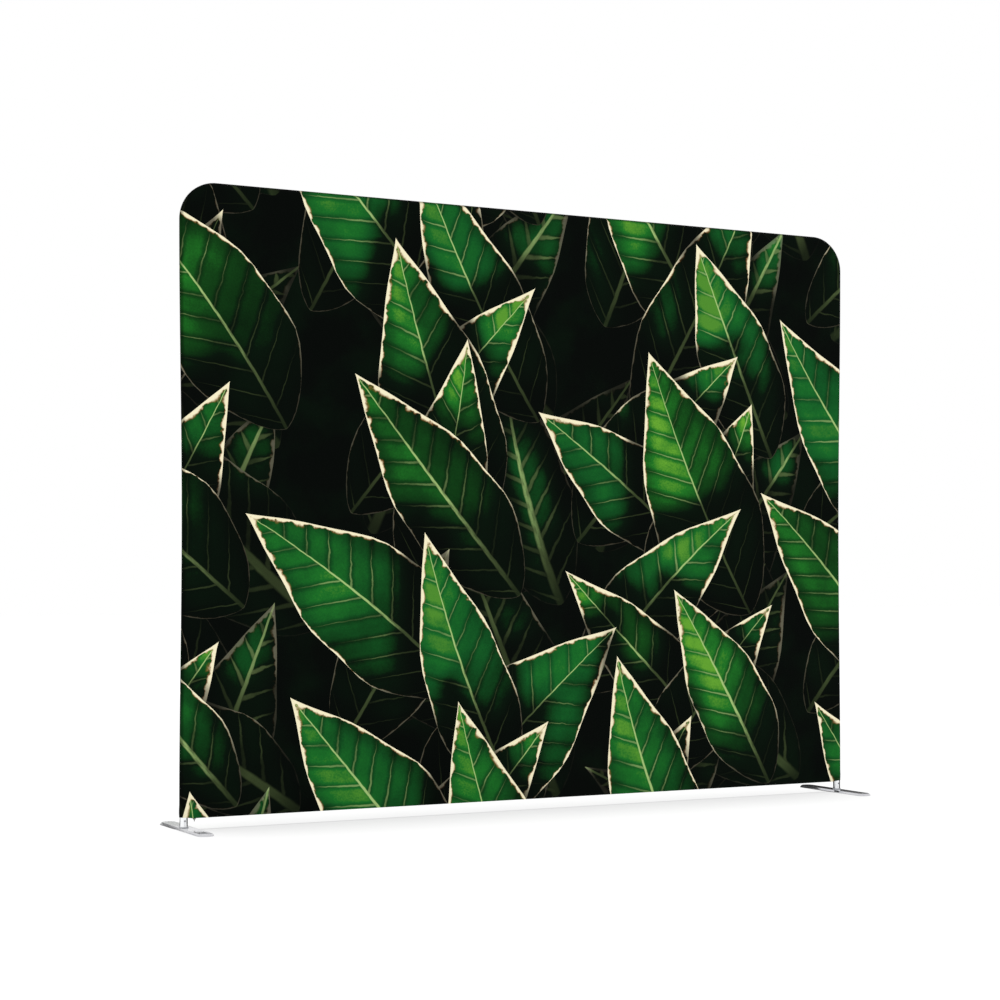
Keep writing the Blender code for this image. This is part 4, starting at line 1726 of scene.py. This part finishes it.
@dataclass
class Zip:
    """The zip under the panel: woven tapes, nylon coils, stops, and the slider with its pull."""

    middle_z: float = 0.0375
    row_half: float = 1.2084
    coil_inner: float = 0.00055
    coil_outer: float = 0.0032
    coil_height: float = 0.0022
    wire: float = 0.00032
    pitch: float = 0.0024
    tape_near: float = 0.00175
    tape_width: float = 0.01005
    tape_thickness: float = 0.0006
    tape_edge: float = 0.00012
    tape_steps: int = 120
    stop_length: float = 0.003
    stop_edge: float = 0.00045
    slider_x: float = -1.2024
    slider_half: float = 0.006
    slider_wing: float = 0.0043
    slider_heights: Pair = (0.02, 0.06)
    slider_edge: float = 0.00022
    pull_edge: float = 0.0002
    edge_steps: int = 3
    least_gap: float = 0.00001
    flat_angle: float = math.radians(2)
    edge_angle: float = math.radians(40)
    shield: tuple[Pair, ...] = ((-1.0, 0.55), (-0.7, 1.0), (0.25, 1.0), (0.8, 0.72), (1.0, 0.4))

    def coil(self, coils: PathTree, face: Face) -> None:
        """One row's continuous coil.

        Args:
            coils: The tree of coils.
            face: The side of the zip.
        """
        middle = face.value * (self.coil_inner + self.coil_outer) / 2
        name = f"zip_coil_{face.word}_wire"
        xs = (-self.row_half + self.wire, self.row_half)
        sizes = {
            "turns": 2 * self.row_half / self.pitch,
            "length": 2 * (self.row_half - self.wire),
            "width": self.coil_outer - self.coil_inner - 2 * self.wire,
            "height": self.coil_height - 2 * self.wire,
            "wire": self.wire,
        }
        obj = coils.grow(name, [(x, middle, self.middle_z) for x in xs], ZIP_NYLON, **sizes)
        keep(obj, FRAME_BODY, "zip_coil", f"zip_coil_{face.word}")

    def tape(self, face: Face) -> None:
        """One woven tape, its inner edge held in the coil's loops.

        Args:
            face: The side of the zip.
        """
        reach = (self.tape_near, self.tape_near + self.tape_width)
        near, far = sorted(face.value * y for y in reach)
        name = f"zip_tape_{face.word}_cloth"
        half = self.tape_thickness / 2
        edge = self.tape_edge
        section = [(near, -0.6), (near + edge, -1.0), (far - edge, -1.0), (far, -0.6)]
        section += [(y, -level) for y, level in reversed(section)]
        rings = []
        for i in range(self.tape_steps + 1):
            x = -ZIP_HALF + 2 * ZIP_HALF * i / self.tape_steps
            rings.append([(x, y, self.middle_z + half * level) for y, level in section])
        obj = new_object(name, smoothed(lofted(name, rings)), ZIP_TAPE)
        keep(obj, FRAME_BODY, "zip_tape", f"zip_tape_{face.word}")

    def stop(self, side: Side) -> None:
        """A pressed metal stop at one end of the rows.

        Args:
            side: The end of the zip.
        """
        name = f"zip_{side.word}_stop_clip"
        near, far = sorted(side.value * x for x in (ZIP_HALF, ZIP_HALF - self.stop_length))
        low = (near, -self.coil_outer, UNDERSIDE_Z)
        high = (far, self.coil_outer, UNDERSIDE_Z + self.coil_height)
        mesh = rounded_box(name, low, high, self.stop_edge)
        keep(new_object(name, mesh, SLIDER_COAT), FRAME_BODY, "zip_metal", f"zip_{side.word}_stop")

    def bevelled(self, node: str, name: str, width: float, outline: Mesh | None = None) -> Mesh:
        """A copy of a CAD node with its corners trimmed and its edges softened.

        Args:
            node: The CAD node.
            name: The new mesh's name.
            width: The width of the softened edges.
            outline: A solid that the copy is trimmed to.

        Returns:
            The mesh.
        """
        bm = bmesh.new()
        bm.from_mesh(bpy.data.objects[node].data)
        bmesh.ops.remove_doubles(bm, verts=bm.verts, dist=self.least_gap)
        bmesh.ops.dissolve_limit(bm, angle_limit=self.flat_angle, verts=bm.verts, edges=bm.edges)
        mesh = freed(name, bm)
        if outline:
            mesh = cut_by(mesh, [outline], "INTERSECT")
        obj = new_object(name, mesh)
        soft = obj.modifiers.new("soft", "BEVEL")
        soft.width = width
        soft.segments = self.edge_steps
        soft.limit_method = "ANGLE"
        soft.angle_limit = self.edge_angle
        return smoothed(settled(obj))

    def slider(self) -> None:
        """The slider, shield-shaped in plan, and the pull that swings from it."""
        half, wing = self.slider_half, self.slider_wing
        plan = [(along * half, -across * wing) for along, across in self.shield]
        plan += [(along, -across) for along, across in reversed(plan)]
        heights = self.slider_heights
        rings = [[(self.slider_x + along, across, z) for along, across in plan] for z in heights]
        outline = lofted("slider_plan", rings)
        body = self.bevelled("zip_slider", "zip_slider_body", self.slider_edge, outline)
        body = new_object("zip_slider_body", body, SLIDER_COAT)
        keep(body, "slider", "zip_metal", "zip_slider")
        pull = self.bevelled("zip_pull", "zip_pull_tab", self.pull_edge)
        keep(new_object("zip_pull_tab", pull, PULL_COAT), "pull", "zip_metal", "zip_pull")

    def build(self, coils: PathTree) -> None:
        """Makes every piece of the zip.

        Args:
            coils: The tree of coils.
        """
        for face in Face:
            self.coil(coils, face)
            self.tape(face)
        for side in Side:
            self.stop(side)
        self.slider()


# Tubes, buttons and feet


@dataclass
class TubeFrame:
    """The aluminium tubes, with the snap buttons of their joints."""

    radius: float = 0.0125
    wall: float = 0.0012
    sides: int = 48
    tube_foot_z: float = 0.0111
    upright_joint_z: float = 0.95
    post_joint_z: float = 1.0
    saddle_reach: float = 0.018
    upright_points: int = 12
    leg_points: int = 4
    bore_facets: int = 16
    button_offset: float = 0.025
    button_radius: float = 0.003
    button_proud: float = 0.0015
    button_sides: int = 32
    dome_rise: float = 0.0012
    dome_step: int = 15
    flange_radius: float = 0.0042
    flange_thickness: float = 0.001
    spring: Pair = (0.001, 0.018)
    spring_half: float = 0.0025
    spring_depth: float = 0.0003
    spring_edge: float = 0.00015
    peg_radius: float = 0.0037
    overrun: float = 0.005

    @property
    def corner_joint(self) -> Pair:
        """Where a corner tube ends: its X in the top rail and its Z in the upright."""
        return LINE.arc_x - LINE.corner_leg, LINE.arc_z - LINE.corner_leg

    def lines(self) -> dict[str, list[Vector]]:
        """The centre lines of the tubes.

        Returns:
            The points that each tube runs through, by its CAD node.
        """

        def rail(first: float, last: float, z: float) -> list[Vector]:
            """A level line from one X to another."""
            return [RIGHT * x + UP * z for x in (first, last)]

        half = LINE.gap / 2
        joint_x, joint_z = self.corner_joint
        top_x, bottom_x = joint_x / 3, LINE.side_x / 3
        reach = self.saddle_reach
        found = {
            "middle_top_tube": rail(half - top_x, top_x - half, LINE.top_z),
            "middle_bottom_tube": rail(half - bottom_x, bottom_x - half, LINE.bottom_z),
            "lower_centre_post": [UP * (LINE.bottom_z + reach), UP * (self.post_joint_z - half)],
            "upper_centre_post": [UP * (self.post_joint_z + half), UP * (LINE.top_z - reach)],
        }
        above_foot = np.linspace(LINE.bottom_z, self.upright_joint_z - half, self.upright_points)
        lower = [self.tube_foot_z, *above_foot]
        upper = np.linspace(self.upright_joint_z + half, joint_z - half, self.upright_points)
        leg = np.linspace(joint_z + half, LINE.arc_z, self.leg_points)[:-1]
        for side in Side:
            s, word = side.value, side.word
            found[f"{word}_lower_upright"] = [LINE.upright(s, z) for z in lower]
            found[f"{word}_upper_upright"] = [LINE.upright(s, z) for z in upper]
            corner = [LINE.upright(s, z) for z in leg]
            corner += [Vector((s * x, 0, z)) for x, z in LINE.bend()]
            corner.append(RIGHT * (s * (joint_x + half)) + UP * LINE.top_z)
            found[f"{word}_corner_tube"] = corner
            ends = (s * (top_x + half), s * (joint_x - half))
            found[f"{word}_top_tube"] = rail(*ends, LINE.top_z)
            ends = (s * (bottom_x + half), s * (LINE.side_x - reach))
            found[f"{word}_bottom_tube"] = rail(*ends, LINE.bottom_z)
        return found

    def buttons(self) -> dict[str, Placed]:
        """The snap buttons.

        Returns:
            Each button's placement and the tube that it locks, by name.
        """

        def past(place: Vector, along: Vector, outward: Vector) -> Matrix:
            """A button's placement, a little way along from a joint."""
            return axes_at(place + along * self.button_offset, -along, outward)

        joint_x, joint_z = self.corner_joint
        top, bottom = UP * LINE.top_z, UP * LINE.bottom_z
        found = {"centre_post": (past(UP * self.post_joint_z, UP, RIGHT), "upper_centre_post")}
        for side in Side:
            s, word, outward = side.value, side.word, RIGHT * side.value
            upright = (
                ("upright", self.upright_joint_z, "upper_upright"),
                ("corner_lower", joint_z, "corner_tube"),
            )
            for joint, z, tube in upright:
                place = past(LINE.upright(s, z), LINE.slope(s, z), -outward)
                found[f"{word}_{joint}"] = (place, f"{word}_{tube}")
            level = (
                ("corner_upper", outward * joint_x + top, -UP, f"{word}_top_tube"),
                ("top", outward * joint_x / 3 + top, -UP, "middle_top_tube"),
                ("bottom", outward * LINE.side_x / 3 + bottom, UP, "middle_bottom_tube"),
            )
            for joint, place, facing, tube in level:
                found[f"{word}_{joint}"] = (past(place, -outward, facing), tube)
        for side in Side:
            base = RIGHT * side.value * LINE.side_x + UP * FOOT_BUTTON_Z
            found[f"{side.word}_foot"] = (axes_at(base, UP, FRONT), f"{side.word}_lower_upright")
        return found

    def pegs(self) -> list[Placed]:
        """The pegs of the saddles and connectors.

        Returns:
            Where each enters a tube's wall, and which tube that is.
        """
        found = [(axes_at(UP * LINE.bottom_z, RIGHT, UP), "middle_bottom_tube")]
        found.append((axes_at(UP * LINE.top_z, RIGHT, -UP), "middle_top_tube"))
        for side in Side:
            place = LINE.upright(side.value, LINE.bottom_z)
            found.append((axes_at(place, UP, -RIGHT * side.value), f"{side.word}_lower_upright"))
        return found

    def hole(self, radius: float, placement: Matrix) -> Mesh:
        """A round cutter from a tube's axis through its wall.

        Args:
            radius: Its radius.
            placement: Its placement.

        Returns:
            The mesh.
        """
        profile = [(radius, 0), (radius, self.radius + self.overrun)]
        mesh = turned("hole", profile, self.button_sides)
        mesh.transform(placement)
        return mesh

    def tube(self, sweep: PathTree, node: str, points: list[Vector], cutters: list[Mesh]) -> None:
        """One tube: swept, walled, and drilled for its buttons.

        Args:
            sweep: The tree of tubes.
            node: The CAD node that it stands for.
            points: Its centre line.
            cutters: What is drilled out of it.
        """
        finish = TUBE_ROUND_BEND
        if node.endswith(("upright", "post")):
            finish = TUBE_ALONG_Z
        elif abs(points[0].z - points[-1].z) < WELD:
            finish = TUBE_ALONG_X
        name = f"{node}_drawn"
        obj = sweep.grow(name, points, finish, radius=self.radius, sides=self.sides)
        wall = obj.modifiers.new("wall", "SOLIDIFY")
        wall.thickness = self.wall
        wall.offset = -1
        bm = bmesh.new()
        bm.from_mesh(settled(obj))
        bmesh.ops.recalc_face_normals(bm, faces=bm.faces)
        mesh = freed(name, bm)
        if cutters:
            mesh = cut_by(mesh, cutters)
        keep(new_object(name, smoothed(mesh), finish), FRAME_BODY, "tube_aluminium", node)

    def button(self) -> Mesh:
        """A snap button with a domed head, its flange and the leaf that springs it.

        Returns:
            The mesh, its head along Z.
        """
        seat = SLEEVE_BORE * math.cos(math.pi / self.bore_facets)
        high = math.sqrt(seat * seat - self.flange_radius**2) - LINE.gap
        low, top = high - self.flange_thickness, self.radius + self.button_proud
        r = self.button_radius
        turns = [math.radians(a) for a in range(0, 91, self.dome_step)]
        profile = [(r * math.sin(a), top - self.dome_rise * (1 - math.cos(a))) for a in turns]
        profile += [(r, high), (self.flange_radius, high), (self.flange_radius, low), (0, low)]
        middle, (near, far) = (low + high) / 2, self.spring
        below = (near, -self.spring_half, middle - self.spring_depth)
        above = (far, self.spring_half, middle + self.spring_depth)
        leaf = rounded_box("snap_leaf", below, above, self.spring_edge, 2)
        return cut_by(turned("snap_button", profile, self.button_sides), [leaf], "UNION")

    def build(self, sweep: PathTree) -> None:
        """Makes every tube and every button.

        Args:
            sweep: The tree of tubes.
        """
        buttons = self.buttons()
        holes = [(self.button_radius, place, tube) for place, tube in buttons.values()]
        holes += [(self.peg_radius, place, tube) for place, tube in self.pegs()]
        cutters: dict[str, list[Mesh]] = {}
        for radius, place, tube in holes:
            cutters.setdefault(tube, []).append(self.hole(radius + LINE.gap, place))
        for node, points in self.lines().items():
            self.tube(sweep, node, points, cutters.get(node, []))
        shape = smoothed(self.button())
        for name, (place, _) in buttons.items():
            mesh = shape.copy()
            mesh.transform(place)
            obj = new_object(f"{name}_snap_head", mesh, ZINC_STEEL)
            keep(obj, f"{name}_snap", "small_steel", f"{name}_button")


@dataclass
class Foot:
    """One foot: its chamfered plate, the collar and spigot on it, and the screw between them.

    The three edge profiles of the plate say how far its outline is drawn in, and how high
    that is above the bottom, the chamfer's lower edge or the top.
    """

    side: Side
    length: float = 0.38
    width: float = 0.055
    thickness: float = 0.008
    chamfer: float = 0.0055
    inset: float = 0.009
    end_steps: int = 32
    bottom_edge: tuple[Pair, ...] = ((0.0005, 0.0), (0.00015, 0.00015), (0.0, 0.0005))
    chamfer_edge: tuple[Pair, ...] = ((0.0, -0.0004), (0.00012, -0.00004), (0.0004, 0.0003))
    top_edge: tuple[Pair, ...] = ((-0.0004, -0.0004), (0.0, -0.00006), (0.0005, 0.0))
    plate_sharp_angle: float = math.radians(30)
    clearance: float = 0.0005
    collar_z: float = 0.0083
    collar_radius: float = 0.015
    collar_height: float = 0.0025
    collar_edge: Pair = (0.0007, 0.0002)
    collar_foot: float = 0.0003
    spigot_radius: float = 0.0108
    spigot_height: float = 0.085
    spigot_base: float = 0.014
    spigot_edge: float = 0.0005
    spigot_sides: int = 64
    drill: Pair = (0.0033, 0.0175)
    drill_sides: int = 32
    screw_radius: float = 0.004
    screw_length: float = 0.018
    screw_point: float = 0.0008
    screw_sides: int = 48
    head_radius: float = 0.0078
    head_height: float = 0.0038
    head_edge: float = 0.0004
    recess: float = 0.0006
    socket_radius: float = 0.0029
    socket_depth: float = 0.0025
    overrun: float = 0.005

    @property
    def placement(self) -> Matrix:
        """The foot's placement, its X towards the middle of the panel."""
        return axes_at(RIGHT * self.side.value * LINE.side_x, -self.side.value * RIGHT, UP)

    @property
    def neck(self) -> float:
        """The height at which the screw's head narrows to its shank."""
        return self.recess + self.head_height

    def ring(self, shrink: float, z: float) -> list[tuple[float, float, float]]:
        """The plate's outline at a level.

        Args:
            shrink: How far it is drawn in.
            z: The level.

        Returns:
            Its points.
        """
        radius = self.width / 2
        straight, reach = self.length / 2 - radius, radius - shrink
        found = []
        for centre, start in ((straight, 0.0), (-straight, math.pi)):
            for i in range(self.end_steps + 1):
                angle = start + math.pi * i / self.end_steps
                x, y = reach * math.cos(angle), reach * math.sin(angle)
                found.append((self.inset + x, centre + y, z))
        return found

    def plate(self) -> None:
        """The plate, its edges eased above and below the chamfer."""
        low = self.thickness - self.chamfer
        levels = list(self.bottom_edge)
        levels += [(shrink, low + z) for shrink, z in self.chamfer_edge]
        levels += [(self.chamfer + shrink, self.thickness + z) for shrink, z in self.top_edge]
        mesh = lofted("foot_plate", [self.ring(shrink, z) for shrink, z in levels])
        shank, head = self.screw_radius + self.clearance, self.head_radius + self.clearance
        above = self.thickness + self.overrun
        profile = [(shank, above), (shank, self.neck), (head, self.recess), (head, -self.overrun)]
        mesh = cut_by(mesh, [turned("foot_hole", profile, self.screw_sides)])
        mesh.transform(self.placement)
        node = f"{self.side.word}_foot_plate"
        obj = new_object(f"{node}_steel", smoothed(mesh, self.plate_sharp_angle), PLATE_STEEL)
        keep(obj, f"{self.side.word}_foot", "foot_steel", node)

    def spigot(self) -> None:
        """The collar and the spigot above it, bored and drilled for the button."""
        foot, bored = self.collar_z, self.collar_z + self.spigot_base
        shelf, end = foot + self.collar_height, foot + self.spigot_height
        hole, r, spigot = self.screw_radius + LINE.gap, self.collar_radius, self.spigot_radius
        far, near = self.collar_edge
        edge = self.spigot_edge
        profile = [(spigot - edge, end), (spigot, end - edge), (spigot, shelf)]
        profile += [(r - far, shelf), (r - near, shelf - near), (r, shelf - far)]
        profile += [(r, foot + self.collar_foot), (r - self.collar_foot, foot), (hole, foot)]
        profile += [(hole, bored), (SLEEVE_BORE, bored), (SLEEVE_BORE, end)]
        mesh = turned("foot_spigot", profile, self.spigot_sides, closed=True)
        radius, reach = self.drill
        drill = turned("button_hole", [(radius, 0), (radius, reach)], self.drill_sides)
        drill.transform(axes_at(UP * FOOT_BUTTON_Z, UP, FRONT))
        mesh = cut_by(mesh, [drill])
        mesh.transform(Matrix.Translation(RIGHT * self.side.value * LINE.side_x))
        node = f"{self.side.word}_foot_spigot"
        obj = new_object(f"{node}_turned", smoothed(mesh), MILL_ALUMINIUM)
        keep(obj, FRAME_BODY, "sleeve_aluminium", node)

    def screw(self) -> None:
        """The countersunk screw, with its hexagon socket underneath."""
        low, top = self.recess, self.recess + self.screw_length
        r, head, point, edge = self.screw_radius, self.head_radius, self.screw_point, self.head_edge
        profile = [(r - point, top), (r, top - point), (r, self.neck)]
        profile += [(head, low + edge), (head - edge, low)]
        ends = (low - self.overrun, low + self.socket_depth)
        socket = turned("socket", [(self.socket_radius, z) for z in ends], 6)
        mesh = cut_by(turned("foot_screw", profile, self.screw_sides), [socket])
        mesh.transform(self.placement)
        node = f"{self.side.word}_foot_screw"
        obj = new_object(f"{node}_plated", smoothed(mesh), ZINC_STEEL)
        keep(obj, FRAME_BODY, "small_steel", node)

    def build(self) -> None:
        """Makes the foot's three pieces."""
        self.plate()
        self.spigot()
        self.screw()


@dataclass
class InnerFittings:
    """The CAD nodes that keep their own shape, inside the cover."""

    plastic_words: tuple[str, ...] = ("_connector", "_saddle")

    def build(self, nodes: dict[str, Object]) -> None:
        """Gives each node that still shows its finish.

        Args:
            nodes: The CAD nodes by name.
        """
        for name, obj in nodes.items():
            if obj.hide_render:
                continue
            finish: Finish = BLACK_PLASTIC if name.endswith(self.plastic_words) else MILL_ALUMINIUM
            obj.material_slots[0].material = finish.material()
            LOG.info("%s keeps its shape, in %s", name, finish.name)


# The studio


@dataclass(frozen=True)
class Card:
    """A grey upright card that only polished metal sees, by its corners' X and Z."""

    name: str
    low: Pair
    high: Pair
    y: float
    tone: int


@dataclass
class Studio:
    """A pale floor, soft plain light and the camera."""

    lens: float = 76.65
    sensor: float = 36.0
    shift_y: float = 0.0705
    far: float = 200
    eye: Triple = (-3.440, -6.219, 0.7963)
    heading: float = -27.96
    floor_size: float = 60.0
    glow: float = 0.572
    dim_glow: float = 0.05
    albedo: float = 0.2
    dim_albedo: float = 0.02
    foot_depth: float = 0.54
    foot_shift: float = -0.04
    foot_fade: float = 0.05
    world_light: float = 0.92
    overhead: float = 5.4
    overhead_angle: float = 20.0
    overhead_tilt: float = 2.4
    cards: tuple[Card, ...] = (
        Card("far_card_left", (-2.6, 0.5), (-0.6, 1.04), 3.0, 126),
        Card("near_card_left", (-1.4, 0.0), (-0.7, 0.035), 0.25, 246),
        Card("near_card_right", (1.1, 0.0), (1.9, 0.05), 0.25, 40),
        Card("upper_card_right", (1.1, 0.05), (1.9, 0.143), 0.25, 90),
    )

    def camera(self) -> None:
        """The camera at the photograph's place, level, with the photograph's framing."""
        data = bpy.data.cameras.new("camera")
        data.lens = self.lens
        data.sensor_width = self.sensor
        data.shift_y = self.shift_y
        data.clip_end = self.far
        obj = linked("camera", data)
        obj.location = self.eye
        obj.rotation_euler = (math.radians(90), 0, math.radians(self.heading))
        bpy.context.scene.camera = obj

    def board(
        self, name: str, coat: str, spots: Sequence[Sequence[float]]
    ) -> tuple[Object, NodeTree]:
        """A flat piece of the stage.

        Args:
            name: Its name.
            coat: The name of its material.
            spots: Its four corners in order.

        Returns:
            The piece and the nodes of its material.
        """
        mesh = bpy.data.meshes.new(name)
        mesh.from_pydata(spots, [], [(0, 1, 2, 3)])
        material = bpy.data.materials.new(coat)
        material.use_nodes = True
        mesh.materials.append(material)
        obj = linked(name, mesh)
        return obj, material.node_tree

    def floor(self) -> Object:
        """A pale floor that keeps the panel's narrow shadow. Metal mirrors it darker behind
        each foot.

        Returns:
            The floor.
        """
        half = self.floor_size / 2
        spots = [(-half, -half, 0), (half, -half, 0), (half, half, 0), (-half, half, 0)]
        obj, tree = self.board("floor", "studio_floor", spots)
        tree.nodes.remove(tree.nodes["Principled BSDF"])
        graph = Graph(tree)
        x, y, _ = graph.parts(graph.placed())
        turn = math.radians(self.heading)
        depth = graph.minus(graph.times(y, math.cos(turn)), graph.times(x, math.sin(turn)))
        sides = graph.math("SIGN", x)
        nearest = graph.math("MULTIPLY_ADD", sides, self.foot_depth, self.foot_shift)
        behind = graph.span(graph.minus(depth, nearest), 0.0, self.foot_fade)
        dim = graph.times(graph.node("ShaderNodeLightPath").outputs["Is Glossy Ray"], behind)
        grey = graph.span(dim, 0.0, 1.0, self.albedo, self.dim_albedo)
        matt = graph.out("ShaderNodeBsdfDiffuse", {"Color": grey})
        strength = graph.span(dim, 0.0, 1.0, self.glow, self.dim_glow)
        glow = graph.out("ShaderNodeEmission", {"Strength": strength})
        both = graph.out("ShaderNodeAddShader", {0: matt, 1: glow})
        graph.feed(tree.nodes["Material Output"], {"Surface": both})
        return obj

    def stand(self, card: Card) -> None:
        """Stands a card behind the panel.

        Args:
            card: The card.
        """
        (left, bottom), (right, top), y = card.low, card.high, card.y
        spots = [(left, y, bottom), (right, y, bottom), (right, y, top), (left, y, top)]
        obj, tree = self.board(card.name, card.name, spots)
        grey = srgb(card.tone, card.tone, card.tone)
        Graph(tree).feed(tree.nodes["Principled BSDF"], {"Base Color": grey, "Roughness": 1.0})
        obj.visible_camera = obj.visible_diffuse = False
        obj.visible_shadow = obj.visible_transmission = False

    def world(self) -> None:
        """An even white surround."""
        world = bpy.data.worlds.new("studio")
        bpy.context.scene.world = world
        world.use_nodes = True
        graph = Graph(world.node_tree)
        ray = graph.node("ShaderNodeLightPath").outputs
        seen = graph.plus(ray["Is Camera Ray"], ray["Is Glossy Ray"])
        seen = graph.math("ADD", seen, ray["Is Transmission Ray"], clamp=True)
        strength = graph.span(seen, 0.0, 1.0, self.world_light, 1.0)
        surround = {"Color": (1, 1, 1, 1), "Strength": strength}
        graph.feed(world.node_tree.nodes["Background"], surround)

    def overhead_lamp(self, floor: Object) -> None:
        """A soft lamp above, which draws the narrow shadow under the panel.

        Args:
            floor: The floor, which alone it lights.
        """
        data = bpy.data.lights.new("overhead", "SUN")
        data.energy = self.overhead
        data.angle = math.radians(self.overhead_angle)
        obj = linked("overhead", data)
        obj.rotation_euler = (-math.radians(self.overhead_tilt), 0, 0)
        lit = bpy.data.collections.new("lit_by_overhead")
        lit.objects.link(floor)
        obj.light_linking.receiver_collection = lit

    def build(self) -> None:
        """Sets up the floor, the lights, the camera and the plain view."""
        bpy.context.scene.view_settings.view_transform = "Standard"
        self.world()
        self.overhead_lamp(self.floor())
        for card in self.cards:
            self.stand(card)
        self.camera()


def main() -> None:
    """Builds the divider's pieces in order."""
    logging.basicConfig(level=logging.INFO, format="%(name)s: %(message)s")
    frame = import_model()
    sweep, stitches, coils = tube_tree(), stitch_tree(), coil_tree()
    Studio().build()
    Cover().build(stitches)
    Zip().build(coils)
    TubeFrame().build(sweep)
    for side in Side:
        Foot(side).build()
    InnerFittings().build(frame["nodes"])


if __name__ == "__main__":
    main()
